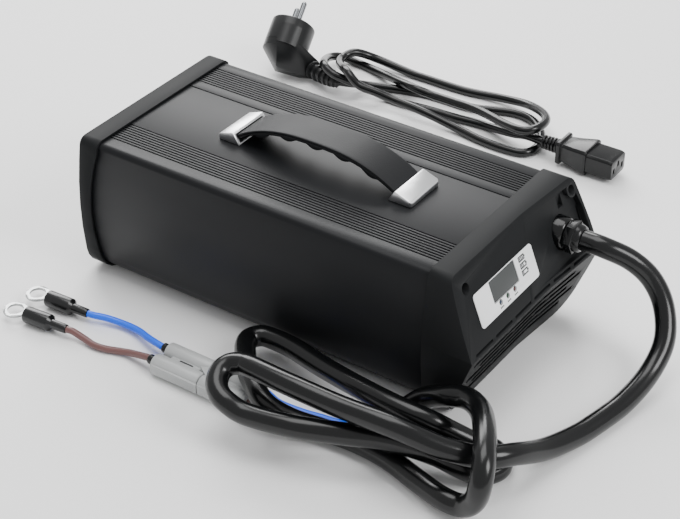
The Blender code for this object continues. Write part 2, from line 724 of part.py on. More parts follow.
# Circuit board and what it carries
shellFloor = bodyBottom + wall
for name, y in (("board_rail_front", -48), ("board_rail_rear", 48)):
    node(name, block(leftEnd + 34, rightEnd - 34, y - 4, y + 4, shellFloor + gap, shellFloor + 5), aluminium)
boardTop = shellFloor + 5 + gap + 1.6
boardHalf = bottomHalf - 15
node("main_board", block(leftEnd + 30, rightEnd - 28, -boardHalf, boardHalf, boardTop - 1.6, boardTop), boardGreen)
seatLevel = boardTop + gap
transformer = node("transformer", block(20, 62, -17, 17, seatLevel, seatLevel + 40), ((0.1, 0.1, 0.11), 0.0, 0.5))
winding = turned([(0, 5), (21, 5), (21, 35), (0, 35)], 20, Matrix.Translation((41, 0, seatLevel)))
join(transformer, node("transformer_winding", winding, None, cutter=True))
for name, y in (("capacitor_front", -30), ("capacitor_rear", 30)):
    profile = [(0, 0), (12.2, 0), (12.5, 1), (12.5, 39), (11.6, 40), (0, 40)]
    node(name, turned(profile, 16, Matrix.Translation((-60, y, seatLevel))), ((0.03, 0.03, 0.05), 0.0, 0.35))
for name, side in (("heatsink_front", -1), ("heatsink_rear", 1)):
    comb = [(44, 0), (61, 0)]
    for step in range(4):
        z = 6 + step * 11
        comb += [(61, z), (49, z), (49, z + 6), (61, z + 6)]
    comb += [(61, 46), (44, 46)]
    outline = [(side * y, seatLevel + z) for y, z in comb]
    node(name, prism(outline, "X", -20, 100), aluminium)
choke = [(14, 1), (22, 1), (24, 4), (24, 12), (22, 15), (14, 15), (12, 12), (12, 4)]
node("choke", turned(choke, 16, Matrix.Translation((-98, -20, seatLevel - 1))), copper)

# Battery cable: sheath in a loose hank, its two cores, the mated power connector and the ring terminals
cableRoute = [
    (glandEnd + gap, glandSide, glandHeight), (197, 51.5, 80), (214, 59, 72), (228, 64, 59), (240, 61, 43),
    (249, 47, 27), (250, 25, 14), (247, -6, 8), (240, -41, 7), (230, -79, 12.7), (221.3, -109.8, 25.5),
    (210.6, -125.5, 29.3), (189.2, -140, 36.8), (160.1, -149, 45.9), (122.1, -152.2, 46.5),
    (87.2, -154.5, 48.7), (55.9, -152.9, 48), (46.8, -152, 46.6), (38.7, -154.6, 44.7),
    (35.5, -160.6, 42.3), (37.2, -167.7, 39.5), (42.6, -173.9, 37.1), (51.4, -177.1, 34.7),
    (66.3, -175.8, 30.4), (98.2, -170.5, 32), (124.8, -157.5, 29.9), (150.1, -141.1, 25.5),
    (175.4, -128.1, 17.1), (193.2, -125.1, 13), (202.8, -120.9, 9.3), (209, -114.5, 7.3),
    (212, -106.5, 7.3), (208.5, -98.5, 7.3), (200, -93.5, 7.3), (190.6, -95.7, 8.2), (178.7, -101.7, 14.8),
    (162, -111, 25.5), (139.9, -113.1, 27.9), (110.9, -108.9, 25.9), (73.4, -98.8, 20.5),
    (41.7, -90.9, 18.5), (23.3, -89.1, 17.5), (14.6, -90.8, 17.3), (10.2, -98, 17.2), (13.2, -106.4, 18),
    (20.8, -116.5, 19.6), (29.4, -126.5, 21.3), (40.5, -137, 22.6), (61.4, -150.7, 21.1),
    (79.2, -146.8, 13), (101.1, -138.8, 7.9), (123.5, -136.5, 7.7), (148.8, -138.2, 7.3),
    (178, -146.4, 7.8), (199, -153.1, 10.2), (213.3, -153.4, 11.8), (222.5, -155.7, 22.7),
    (225.9, -155.9, 37.5), (221.3, -144.7, 47.3), (208.8, -123.2, 48.7), (194.8, -104.4, 44.6),
    (180, -94.9, 41), (164.7, -93.5, 35.5), (145.3, -90.1, 22.1), (134, -96.2, 11.4), (129.2, -105.3, 8.6),
    (125.7, -110.5, 7.4),
]
cord("battery_cable", cableRoute, cableDiameter, 74, cableBlack, 2)
sheathEnd = Vector(cableRoute[-1])
sheathWay = (sheathEnd - Vector(cableRoute[-2])).normalized()
across = Vector((-sheathWay.y, sheathWay.x, 0))
coreStart = sheathEnd + sheathWay * 2 * gap
blueStart = coreStart - across * 2.8
brownStart = coreStart + across * 2.8
backPole = connectorSide + poleOffset
frontPole = connectorSide - poleOffset
poleHeight = gap + connectorThick / 2
coreEnd = connectorRight + gap
blueCore = [
    blueStart, blueStart + sheathWay * 6, (112, -121, 3.5), (101, -122.4, 2.6), (88, -124.5, 2.6), (73, -127.5, 3), (58, -130, 5),
    (coreEnd + 5, backPole, poleHeight), (coreEnd, backPole, poleHeight),
]
brownCore = [
    brownStart, brownStart + sheathWay * 6, (112, -127, 3.5), (101, -128, 2.5), (88, -130.2, 2.5), (73, -137, 3), (60, -143, 5),
    (coreEnd + 5, frontPole, poleHeight), (coreEnd, frontPole, poleHeight),
]
cord("core_blue", blueCore, coreDiameter, 16, blueSheath)
cord("core_brown", brownCore, coreDiameter, 16, brownSheath)


def connectorBar(low, high):
    """The flat two-pole bar of the connector, with a shallow valley between the poles."""
    half = connectorWidth / 2
    top = gap + connectorThick
    right = [(half - 3, gap), (half, gap + 3), (half, top - 3), (half - 3, top), (2.2, top), (0.9, top - 1.6)]
    outline = [(connectorSide + y, z) for y, z in right] + [(connectorSide - y, z) for y, z in reversed(right)]
    return prism(outline, "X", low, high)


seam = 6.0
notch = 8.0
batteryHalf = node("connector_battery_half", connectorBar(connectorLeft, seam), greyPlastic)
wide = connectorWidth / 2 + 2
notchShape = [(seam - notch, connectorSide), (seam + 1, connectorSide - wide), (seam + 9, connectorSide - wide), (seam + 9, connectorSide + wide), (seam + 1, connectorSide + wide)]
cut(batteryHalf, node("connector_notch", prism(notchShape, "Z", -5, 25), None, cutter=True))
cableHalf = node("connector_cable_half", connectorBar(seam - notch, connectorRight), greyPlastic)
back = gap * 1.35
keepShape = [
    (seam - notch + back, connectorSide), (seam + 1 + back, connectorSide - wide), (seam - 30, connectorSide - wide),
    (seam - 30, connectorSide + wide), (seam + 1 + back, connectorSide + wide),
]
cut(cableHalf, node("connector_tongue", prism(keepShape, "Z", -5, 25), None, cutter=True))
bootEnd = connectorLeft - gap - 6.0
for name, side in (("boot_blue", backPole), ("boot_brown", frontPole)):
    boot = turned([(0, 0), (3.6, 0), (3.3, 6), (0, 6)], 12, place((connectorLeft - gap, side, poleHeight), (-1, 0, 0)))
    node(name, boot, cableBlack)

blueWire = [(bootEnd - gap, backPole, poleHeight), (bootEnd - 3, backPole, poleHeight), (-50.5, -129.3, 6), (-60, -126, 4), (-75, -125, 3), (-94, -126, 4), (-104.7, -126.95, sleeveHeight), (-109.7, -127.2, sleeveHeight)]
brownWire = [(bootEnd - gap, frontPole, poleHeight), (bootEnd - 3, frontPole, poleHeight), (-50.5, -145.8, 6), (-61, -148, 4), (-72, -153.5, 3), (-83, -155, 3), (-95, -152, 4), (-104.7, -149.25, sleeveHeight), (-109.7, -149.6, sleeveHeight)]
cord("wire_blue", blueWire, coreDiameter, 16, blueSheath)
cord("wire_brown", brownWire, coreDiameter, 18, brownSheath)
for name, (x, y, z), slope in (("blue", blueWire[-1], -0.05), ("brown", brownWire[-1], -0.07)):
    way = Vector((-1, slope, 0)).normalized()
    frame = place(Vector((x, y, z)) + way * gap, way)
    profile = [(0, 0), (3.1, 0), (3.3, 1), (3.3, 13.5), (5.9, 15.5), (6.1, 17), (6.1, 34), (5.6, 35.5), (0, 35.5)]
    node(f"sleeve_{name}", turned(profile, 16, frame), glossBlack)
    flat = Matrix.Translation(Vector((x, y, z)) + way * (gap + 35.5 + gap)) @ Matrix.Rotation(math.atan2(way.y, way.x), 4, "Z")
    tongue, ringRadius, reach = 3.6, 8.8, 9.5
    start = math.asin(tongue / ringRadius)
    outline = [(0, tongue), (0, -tongue)]
    for step in range(19):
        angle = math.pi + start + (2 * math.pi - 2 * start) * step / 18
        outline.append((reach + ringRadius * math.cos(angle), ringRadius * math.sin(angle)))
    ring = prism(outline, "Z", -0.8, 0.8)
    bmesh.ops.transform(ring, matrix=flat, verts=ring.verts)
    terminal = node(f"terminal_{name}", ring, brightMetal)
    hole = turned([(0, -4), (5.8, -4), (5.8, 4), (0, 4)], 18, flat @ Matrix.Translation((reach, 0, 0)))
    cut(terminal, node(f"terminal_hole_{name}", hole, None, cutter=True))

# Mains lead: angled plug lying on its back, cord in a loose hank, appliance connector
mainsRoute = [
    (-149, 241, 11), (-140, 245, 9), (-125, 253.5, 4.5), (-101, 267, 3.6), (-76, 276, 3.6), (-41, 280, 3.6), (-21, 285, 3.6), (-4, 291, 3.6),
    (13, 289, 3.6), (27, 278, 3.6), (36, 263, 3.6), (38, 249, 3.6), (33, 239, 3.6), (17, 236, 3.6), (-6, 237, 3.6), (-33, 240, 3.6),
    (-63, 243, 3.6), (-89, 243, 3.6), (-107, 236, 12), (-121, 231, 21), (-136, 235, 28), (-157, 256, 19), (-168, 274, 14),
    (-164, 290, 15.5), (-147, 301, 8), (-109, 303, 3.6), (-62, 303, 3.6), (-27, 306, 5), (0, 301, 9), (23, 286, 16), (36, 270, 20),
    (38, 253, 22), (30, 244, 21), (12, 247, 19), (-20, 260, 15), (-50, 267, 13), (-72, 268, 12), (-100, 278, 12.3),
    (-133, 286, 5), (-161, 292, 3.6), (-181, 291, 6), (-184.4, 272, 10.8), (-166, 240.6, 24), (-149.7, 234.8, 21), (-137.5, 239, 16.5),
    (-125, 243, 14), (-105, 247, 13), (-83, 248, 12), (-65, 254, 6), (-42, 255, 3.6), (-13, 259, 3.6), (15, 253, 9),
    (29, 251, 12.6), (44, 251.5, mainsAxis),
]
cord("mains_cord", mainsRoute, mainsDiameter, 72, cableBlack, 2)
cordStart = Vector(mainsRoute[0])
reliefWay = (cordStart - Vector(mainsRoute[1])).normalized()
pinWay = Vector((-0.159, 0.788, 0.594)).normalized()
alongWay = Vector((0.885, 0.380, -0.268)).normalized()
sideWay = pinWay.cross(alongWay)
pinFace = Vector((-211.0, 264.5, 37.0))
plugPoints = []
for depth, radius in ((0.0, 17.8), (1.0, 19.2), (20.0, 19.2)):
    for side in range(24):
        angle = 2 * math.pi * side / 24
        plugPoints.append(pinFace - pinWay * depth + (alongWay * math.cos(angle) + sideWay * math.sin(angle)) * radius)
for along_, across_ in ((-7, -9), (-7, 9), (14, -9), (14, 9)):
    plugPoints.append(pinFace - pinWay * 38 + alongWay * along_ + sideWay * across_)
reliefStart = cordStart + reliefWay * (gap + 26)
neckFrame = place(reliefStart, reliefWay)
for side in range(16):
    angle = 2 * math.pi * side / 16
    plugPoints.append(neckFrame @ Vector((8 * math.cos(angle), 8 * math.sin(angle), 0)))
plug = node("plug_body", hull(plugPoints), glossBlack)
reliefFrame = place(cordStart + reliefWay * gap, reliefWay)
reliefProfile = [(0, 0), (5.0, 0)]
for step in range(6):
    start = 1.6 + step * 4.0
    radius = 4.9 + step * 0.4
    reliefProfile += [(radius, start), (radius, start + 2.2), (radius - 1.3, start + 2.4), (radius - 1.3, start + 3.8)]
reliefProfile += [(7.2, 26), (7.2, 30), (0, 30)]
join(plug, node("plug_relief", turned(reliefProfile, 12, reliefFrame), None, cutter=True))
pinSpread = (alongWay * 0.28 - sideWay * 0.96).normalized() * 9.5
for name, offset in (("plug_pin_near", pinSpread), ("plug_pin_far", -pinSpread)):
    frame = place(pinFace + offset + pinWay * gap, pinWay)
    node(name, turned([(0, 0), (2.4, 0), (2.4, 17.2), (1.6, 18.6), (0, 19)], 14, frame), brightMetal)

coupler = place((mainsRoute[-1][0] + gap, 251.5, mainsAxis), (1, 0, 0), math.pi / 2)
couplerProfile = [(0, 0), (5.0, 0)]
for step in range(5):
    start = 0.8 + step * 3.0
    radius = 5.8 + step * 0.15
    couplerProfile += [(radius, start), (radius, start + 1.7), (radius - 1.3, start + 1.9), (radius - 1.3, start + 2.8)]
couplerProfile += [(6.2, 15.9), (6.2, 20), (0, 20)]
connector = node("mains_connector", turned(couplerProfile, 12, coupler), glossBlack)
couplerX = mainsRoute[-1][0] + gap


def slab(places):
    """A body along X from (X, half width, half height) stations."""
    rings = []
    for x, wide, tall in places:
        chamfer = 2.0
        corners = [
            (wide - chamfer, -tall), (wide, -tall + chamfer), (wide, tall - chamfer), (wide - chamfer, tall),
            (-wide + chamfer, tall), (-wide, tall - chamfer), (-wide, -tall + chamfer), (-wide + chamfer, -tall),
        ]
        rings.append([(couplerX + x, 251.5 + y, mainsAxis + z) for y, z in corners])
    return loft(rings)


grip = slab([(16.5, 10, 8.5), (17.3, 11.6, 9.9), (20, 11.6, 9.9), (21.2, 9.2, 8.2), (31, 11.2, 9), (42, 13.6, 10.6), (44.5, 13.6, 10.6)])
front = slab([(43, 12.3, 8.6), (64, 12.3, 8.6), (67, 11.8, 8.1)])
join(connector, node("coupler_grip", grip, None, cutter=True), node("coupler_front", front, None, cutter=True))
sockets = []
for y, z in ((-7, -1.5), (0, 2.5), (7, -1.5)):
    sockets.append(block(couplerX + 55, couplerX + 72, 251.5 + y - 1.2, 251.5 + y + 1.2, mainsAxis + z - 2.2, mainsAxis + z + 2.2))
cut(connector, node("coupler_sockets", several(sockets), None, cutter=True))
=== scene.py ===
import math

import bmesh
import bpy
from mathutils import Matrix, Vector
from mathutils.bvhtree import BVHTree
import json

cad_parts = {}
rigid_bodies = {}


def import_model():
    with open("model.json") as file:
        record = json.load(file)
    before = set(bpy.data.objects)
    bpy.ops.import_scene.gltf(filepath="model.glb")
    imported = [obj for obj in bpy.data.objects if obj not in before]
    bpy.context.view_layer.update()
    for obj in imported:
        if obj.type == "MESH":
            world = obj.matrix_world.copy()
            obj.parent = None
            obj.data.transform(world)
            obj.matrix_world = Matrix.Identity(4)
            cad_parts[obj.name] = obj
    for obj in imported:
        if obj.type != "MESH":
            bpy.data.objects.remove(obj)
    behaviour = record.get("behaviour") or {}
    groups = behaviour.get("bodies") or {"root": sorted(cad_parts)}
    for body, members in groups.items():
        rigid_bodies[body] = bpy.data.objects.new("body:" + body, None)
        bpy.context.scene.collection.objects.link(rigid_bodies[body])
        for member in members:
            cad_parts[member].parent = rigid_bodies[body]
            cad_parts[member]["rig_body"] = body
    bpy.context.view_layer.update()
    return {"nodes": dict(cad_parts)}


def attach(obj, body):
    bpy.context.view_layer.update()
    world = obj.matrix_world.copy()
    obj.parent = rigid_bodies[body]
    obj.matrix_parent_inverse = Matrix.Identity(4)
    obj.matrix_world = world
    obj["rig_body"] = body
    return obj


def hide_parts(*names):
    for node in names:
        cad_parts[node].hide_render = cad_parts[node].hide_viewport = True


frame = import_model()
cadNodes = frame["nodes"]
scene = bpy.context.scene
mm = 0.001

# The charger is laid out from the middle of its housing, and the frame's origin is this far along X from there
middle = Vector((13.05, 0.0, 0.0))


def linear(code):
    # A hex colour as the linear values that a shader takes
    values = [int(code[at : at + 2], 16) / 255 for at in (1, 3, 5)]
    return [v / 12.92 if v <= 0.04045 else ((v + 0.055) / 1.055) ** 2.4 for v in values] + [1.0]


def addNode(tree, kind, settings=None, inputs=None, links=None):
    # Adds a shader node with its settings, its input values and the sockets linked into it
    made = tree.nodes.new(kind)
    for key, value in (settings or {}).items():
        setattr(made, key, value)
    for key, value in (inputs or {}).items():
        made.inputs[key].default_value = value
    for key, socket in (links or {}).items():
        tree.links.new(socket, made.inputs[key])
    return made


def surface(name, look):
    # A material with a mottled colour, an uneven gloss and a fine grain, sized in real millimetres
    made = bpy.data.materials.new(name)
    made.use_nodes = True
    tree = made.node_tree
    shader = tree.nodes["Principled BSDF"]
    coordinates = addNode(tree, "ShaderNodeTexCoord")
    stretch = addNode(
        tree, "ShaderNodeMapping", inputs={"Scale": look.get("stretch", (1, 1, 1))},
        links={"Vector": coordinates.outputs["Object"]},
    )
    broad = addNode(
        tree, "ShaderNodeTexNoise", inputs={"Scale": 1 / (look.get("mottle", 40) * mm), "Detail": 3.0},
        links={"Vector": stretch.outputs["Vector"]},
    )
    fine = addNode(
        tree, "ShaderNodeTexNoise", inputs={"Scale": 1 / (look.get("grain", 0.8) * mm), "Detail": 2.0},
        links={"Vector": stretch.outputs["Vector"]},
    )
    base = linear(look["colour"])
    spread = look.get("spread", 0.12)
    tint = addNode(tree, "ShaderNodeMix", {"data_type": "RGBA"}, links={"Factor": broad.outputs["Fac"]})
    tint.inputs[6].default_value = [c * (1 - spread) for c in base[:3]] + [1.0]
    tint.inputs[7].default_value = [min(1.0, c * (1 + spread)) for c in base[:3]] + [1.0]
    tree.links.new(tint.outputs[2], shader.inputs["Base Color"])
    rough = look["rough"]
    change = look.get("unevenness", 0.06)
    gloss = addNode(
        tree, "ShaderNodeMapRange", inputs={"To Min": rough - change, "To Max": rough + change},
        links={"Value": broad.outputs["Fac"]},
    )
    tree.links.new(gloss.outputs["Result"], shader.inputs["Roughness"])
    bump = addNode(
        tree, "ShaderNodeBump", inputs={"Strength": look.get("relief", 0.3), "Distance": look.get("depth", 0.05) * mm},
        links={"Height": fine.outputs["Fac"]},
    )
    tree.links.new(bump.outputs["Normal"], shader.inputs["Normal"])
    shader.inputs["Metallic"].default_value = look.get("metal", 0.0)
    shader.inputs["Specular IOR Level"].default_value = look.get("specular", 0.5)
    shader.inputs["Coat Weight"].default_value = look.get("coat", 0.0)
    shader.inputs["Coat Roughness"].default_value = look.get("coatRough", 0.1)
    shader.inputs["Anisotropic"].default_value = look.get("anisotropy", 0.0)
    shader.inputs["Sheen Weight"].default_value = look.get("sheen", 0.0)
    return made


print("stage: materials")
looks = {
    # Satin powder coat on the aluminium housing: an even near-black with a soft wide highlight
    "satin powder coat": {
        "colour": "#17181a", "rough": 0.44, "specular": 0.16, "mottle": 90, "grain": 0.7, "depth": 0.04, "relief": 0.35,
    },
    # Finely etched moulding of the end caps, a little duller than the housing
    "etched black plastic": {
        "colour": "#1e1f20", "rough": 0.52, "specular": 0.07, "mottle": 60, "grain": 0.6, "depth": 0.05, "relief": 0.4,
    },
    # Rubbery grained strap, which takes a broad grey sheen along its arch
    "grained strap rubber": {
        "colour": "#17181a", "rough": 0.5, "specular": 0.2, "mottle": 30, "grain": 0.9, "depth": 0.12, "relief": 0.6,
    },
    # Soft vinyl of the cables, smooth enough for long thin highlights
    "black cable vinyl": {
        "colour": "#0a0b0c", "rough": 0.22, "specular": 0.4, "mottle": 50, "grain": 1.2, "depth": 0.04, "relief": 0.25,
    },
    # A softer, greyer black for the plug, so that its rounded form and its grip can be read
    "satin plug plastic": {
        "colour": "#121314", "rough": 0.33, "specular": 0.34, "mottle": 25, "spread": 0.05,
        "grain": 0.7, "depth": 0.02, "relief": 0.2,
    },
    # Deep black of the gland, with small hard highlights that draw its edges
    "black gland nylon": {
        "colour": "#08090a", "rough": 0.17, "specular": 0.4, "mottle": 25, "spread": 0.05, "grain": 0.5, "depth": 0.008,
    },
    # Shiny moulded plastic of the nuts, connectors, rotor and inlet, with clear narrow highlights
    "moulded black plastic": {
        "colour": "#0c0d0e", "rough": 0.24, "specular": 0.35, "mottle": 25, "grain": 0.7, "depth": 0.03, "relief": 0.25,
    },
    # Shrunk sleeving, with a soft bright line along its top
    "shrink sleeve": {"colour": "#0f1011", "rough": 0.25, "mottle": 12, "grain": 0.8, "depth": 0.03, "relief": 0.3},
    # White film of the display overlay, the brightest spot of the object
    "white overlay film": {
        "colour": "#f2f3f4", "rough": 0.35, "mottle": 40, "spread": 0.02, "grain": 0.5, "depth": 0.01,
    },
    # Printed marks on the film, flat and nearly black; the same black also serves as painted shade in the connector's
    # slot
    "black print and slot shade": {"colour": "#1a1b1d", "rough": 0.4, "mottle": 20, "grain": 0.4, "depth": 0.005},
    # Window of the switched-off display, an even mid grey with hardly any gloss
    "smoked window": {
        "colour": "#484a4a", "rough": 0.45, "specular": 0.2, "mottle": 30, "spread": 0.05, "grain": 0.5, "depth": 0.004,
    },
    # Darker than the clamps, so that the thin pins stand out from the pale floor
    "nickel plate": {
        "colour": "#77797c", "rough": 0.24, "metal": 1.0, "mottle": 40, "grain": 0.5, "depth": 0.01, "spread": 0.04,
    },
    # Polished wedges that hold the strap, with faint lines along the polish
    "polished metal": {
        "colour": "#f4f5f6", "rough": 0.36, "metal": 1.0, "mottle": 60, "grain": 0.5, "depth": 0.01, "spread": 0.04,
        "stretch": (1, 0.05, 1), "anisotropy": 0.3,
    },
    # Tinned copper of the ring terminals, a cool grey metal that mirrors the floor
    "tinned copper": {
        "colour": "#a6a8a8", "rough": 0.22, "metal": 1.0, "mottle": 6, "grain": 0.5, "depth": 0.02, "spread": 0.08,
    },
    # Light grey nylon of the power connector, with a soft silky sheen
    "grey nylon": {"colour": "#a9abab", "rough": 0.32, "mottle": 15, "spread": 0.05, "grain": 0.5, "depth": 0.03},
    # Blue insulation, clean and strong in colour with a thin highlight
    "blue insulation": {"colour": "#0060fa", "rough": 0.3, "mottle": 30, "spread": 0.08, "grain": 0.9, "depth": 0.02},
    # Brown insulation, dulled and slightly purple beside the blue
    "brown insulation": {"colour": "#6a4846", "rough": 0.38, "mottle": 30, "spread": 0.1, "grain": 0.9, "depth": 0.02},
    # Blackened screws, dark with a weak metal gleam on their heads
    "blackened steel": {"colour": "#2b2c2e", "rough": 0.35, "metal": 1.0, "mottle": 4, "grain": 0.3, "depth": 0.01},
    # Plain steel of the fan guard, whose rings shine before the dark fan
    "nickel wire": {"colour": "#a7a9ab", "rough": 0.3, "metal": 1.0, "mottle": 10, "grain": 0.4, "depth": 0.01},
    # Bare aluminium of the heat sinks and rails, drawn along its length
    "bare aluminium": {
        "colour": "#b9bbbd", "rough": 0.4, "metal": 1.0, "mottle": 20, "grain": 0.5,
        "depth": 0.02, "stretch": (0.1, 1, 1),
    },
    # Matt rubber of the feet, without any gloss
    "foot rubber": {"colour": "#1a1a1b", "rough": 0.8, "mottle": 8, "grain": 0.5, "depth": 0.08},
    # Green solder mask of the boards, uneven where copper lies under it
    "solder mask": {"colour": "#17512e", "rough": 0.4, "mottle": 10, "grain": 0.6, "depth": 0.02, "spread": 0.2},
    # Dark varnish of the wound parts, lumpy and half glossy
    "dark varnish": {"colour": "#26262b", "rough": 0.35, "mottle": 8, "grain": 1.0, "depth": 0.06},
    # Enamelled winding of the choke, a warm metal
    "enamelled copper": {"colour": "#a4592c", "rough": 0.3, "metal": 0.8, "mottle": 6, "grain": 0.9, "depth": 0.1},
    # Plated blades of the inlet, pale gold in its dark well
    "plated brass": {"colour": "#c9b878", "rough": 0.3, "metal": 1.0, "mottle": 6, "grain": 0.5, "depth": 0.01},
    # Lenses of the three unlit lamps, dark with a hint of their colour under a clear gloss
    "blue lens": {"colour": "#27364a", "rough": 0.15, "coat": 0.5, "mottle": 5, "depth": 0.001},
    "green lens": {"colour": "#26402f", "rough": 0.15, "coat": 0.5, "mottle": 5, "depth": 0.001},
    "red lens": {"colour": "#4a2725", "rough": 0.15, "coat": 0.5, "mottle": 5, "depth": 0.001},
    # Pale studio floor, matt and even
    "studio floor": {"colour": "#f4f4f4", "rough": 0.6, "mottle": 900, "spread": 0.01, "grain": 3, "depth": 0.001},
}
materials = {name: surface(name, look) for name, look in looks.items()}


def finished(made, material, body="charger", stands=(), smooth=32):
    # Gives a piece its material, its shading and its place in the frame
    if material:
        made.data.materials.clear()
        made.data.materials.append(materials[material])
    if made.type == "MESH":
        for face in made.data.polygons:
            face.use_smooth = True
        made.data.set_sharp_from_angle(angle=math.radians(smooth))
    if stands:
        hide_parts(*stands)
    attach(made, body)
    return made


def linked(name, data):
    made = bpy.data.objects.new(name, data)
    scene.collection.objects.link(made)
    return made


def fromBmesh(name, bm):
    # An object from a bmesh laid out in millimetres from the middle of the housing
    bmesh.ops.recalc_face_normals(bm, faces=bm.faces)
    bmesh.ops.translate(bm, vec=-middle, verts=bm.verts)
    bmesh.ops.scale(bm, vec=(mm, mm, mm), verts=bm.verts)
    mesh = bpy.data.meshes.new(name)
    bm.to_mesh(mesh)
    bm.free()
    return linked(name, mesh)


def shaped(made, width, segments, angle, cutters):
    # Cuts a piece, breaks its sharp edges with a small round and leaves it as one plain mesh
    for cutter in cutters:
        step = made.modifiers.new("Cut", "BOOLEAN")
        step.operation = "DIFFERENCE"
        step.solver = "EXACT"
        step.object = cutter
    if width:
        step = made.modifiers.new("Eased edges", "BEVEL")
        step.width = width * mm
        step.segments = segments
        step.limit_method = "ANGLE"
        step.angle_limit = math.radians(angle)
        step.harden_normals = True
        step.use_clamp_overlap = True
    if made.modifiers:
        bpy.context.view_layer.update()
        graph = bpy.context.evaluated_depsgraph_get()
        mesh = bpy.data.meshes.new_from_object(made.evaluated_get(graph))
        made.modifiers.clear()
        made.data = mesh
    for cutter in cutters:
        bpy.data.objects.remove(cutter, do_unlink=True)


def refined(name, material, width=0.3, segments=2, angle=34, cutters=()):
    # A copy of a CAD node with whole flat faces and eased edges, shown in its place
    source = cadNodes[name]
    bm = bmesh.new()
    bm.from_mesh(source.data)
    bmesh.ops.remove_doubles(bm, verts=bm.verts, dist=2e-6)
    bmesh.ops.dissolve_limit(bm, angle_limit=math.radians(0.5), verts=bm.verts, edges=bm.edges)
    mesh = bpy.data.meshes.new(name + "_look")
    bm.to_mesh(mesh)
    bm.free()
    made = linked(name + "_look", mesh)
    for face in mesh.polygons:
        face.use_smooth = True
    shaped(made, width, segments, angle, cutters)
    return finished(made, material, source["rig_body"], [name])


def place(at, way, turn=0.0):
    # A frame whose Z runs along the given way
    turned = Vector(way).to_track_quat("Z", "Y").to_matrix().to_4x4() @ Matrix.Rotation(turn, 4, "Z")
    return Matrix.Translation(at) @ turned


def addTurned(bm, profile, at, segments=48):
    # Turns a profile of (radius, height) points round the frame's Z
    rows = []
    for radius, height in profile:
        if radius < 1e-6:
            rows.append([bm.verts.new(at @ Vector((0, 0, height)))])
            continue
        row = []
        for index in range(segments):
            angle = 2 * math.pi * index / segments
            row.append(bm.verts.new(at @ Vector((radius * math.cos(angle), radius * math.sin(angle), height))))
        rows.append(row)
    for low, high in zip(rows, rows[1:]):
        for index in range(segments):
            after = (index + 1) % segments
            corners = [low[index % len(low)], low[after % len(low)], high[after % len(high)], high[index % len(high)]]
            corners = [corner for spot, corner in enumerate(corners) if corner not in corners[:spot]]
            if len(corners) > 2:
                bm.faces.new(corners)
    return bm


def addHull(bm, points):
    # Wraps the points in their convex hull
    made = [bm.verts.new(point) for point in points]
    result = bmesh.ops.convex_hull(bm, input=made)
    spare = result["geom_interior"] + result["geom_unused"]
    loose = {item for item in spare if isinstance(item, bmesh.types.BMVert)}
    bmesh.ops.delete(bm, geom=list(loose), context="VERTS")


def addPrism(bm, outline, low, high, at=None):
    # Raises an outline of (x, y) points from one level to the other
    at = at or Matrix.Identity(4)
    rows = [[bm.verts.new(at @ Vector((x, y, level))) for x, y in outline] for level in (low, high)]
    bm.faces.new(rows[0])
    bm.faces.new(rows[1])
    for index in range(len(outline)):
        after = (index + 1) % len(outline)
        bm.faces.new((rows[0][index], rows[0][after], rows[1][after], rows[1][index]))
    return bm


def piece(name, bm, material, stands=(), width=0.0, segments=2, angle=34, cutters=(), smooth=32):
    # A new piece in housing millimetres, cut and eased, shown in place of the nodes it stands for
    made = fromBmesh(name, bm)
    shaped(made, width, segments, angle, cutters)
    return finished(made, material, stands=stands, smooth=smooth)


def boxOf(name):
    # The lowest and the highest corner of a CAD node, in housing millimetres
    corners = [cadNodes[name].matrix_world @ vert.co / mm for vert in cadNodes[name].data.vertices]
    low = Vector([min(corner[axis] for corner in corners) for axis in range(3)]) + middle
    high = Vector([max(corner[axis] for corner in corners) for axis in range(3)]) + middle
    return low, high


print("stage: housing")
# What each plain CAD piece is made of, and the round on its edges in millimetres
plain = {
    "body_shell": ("satin powder coat", 0.18),
    "rear_cap": ("etched black plastic", 0.5),
    "front_cap": ("etched black plastic", 0.35),
    "display_overlay": ("white overlay film", 0.1),
    "display_window": ("smoked window", 0.1),
    "display_board": ("solder mask", 0),
    "lamp_1": ("blue lens", 0),
    "lamp_2": ("green lens", 0),
    "lamp_3": ("red lens", 0),
    "gland_dome": ("moulded black plastic", 0.3),
    "gland_locknut": ("moulded black plastic", 0.2),
    "terminal_blue": ("tinned copper", 0.2),
    "terminal_brown": ("tinned copper", 0.2),
    "ac_inlet": ("moulded black plastic", 0.4),
    "inlet_blade_live": ("plated brass", 0.2),
    "inlet_blade_earth": ("plated brass", 0.2),
    "inlet_blade_neutral": ("plated brass", 0.2),
    "fan_frame": ("etched black plastic", 0.2),
    "fan_rotor": ("moulded black plastic", 0.15),
    "fan_guard": ("nickel wire", 0.3),
    "main_board": ("solder mask", 0),
    "board_rail_front": ("bare aluminium", 0.2),
    "board_rail_rear": ("bare aluminium", 0.2),
    "transformer": ("dark varnish", 0.5),
    "choke": ("enamelled copper", 0),
    "capacitor_front": ("dark varnish", 0.3),
    "capacitor_rear": ("dark varnish", 0.3),
    "heatsink_front": ("bare aluminium", 0.2),
    "heatsink_rear": ("bare aluminium", 0.2),
    "plug_pin_near": ("nickel plate", 0),
    "plug_pin_far": ("nickel plate", 0),
    "mains_connector": ("moulded black plastic", 0.4),
}

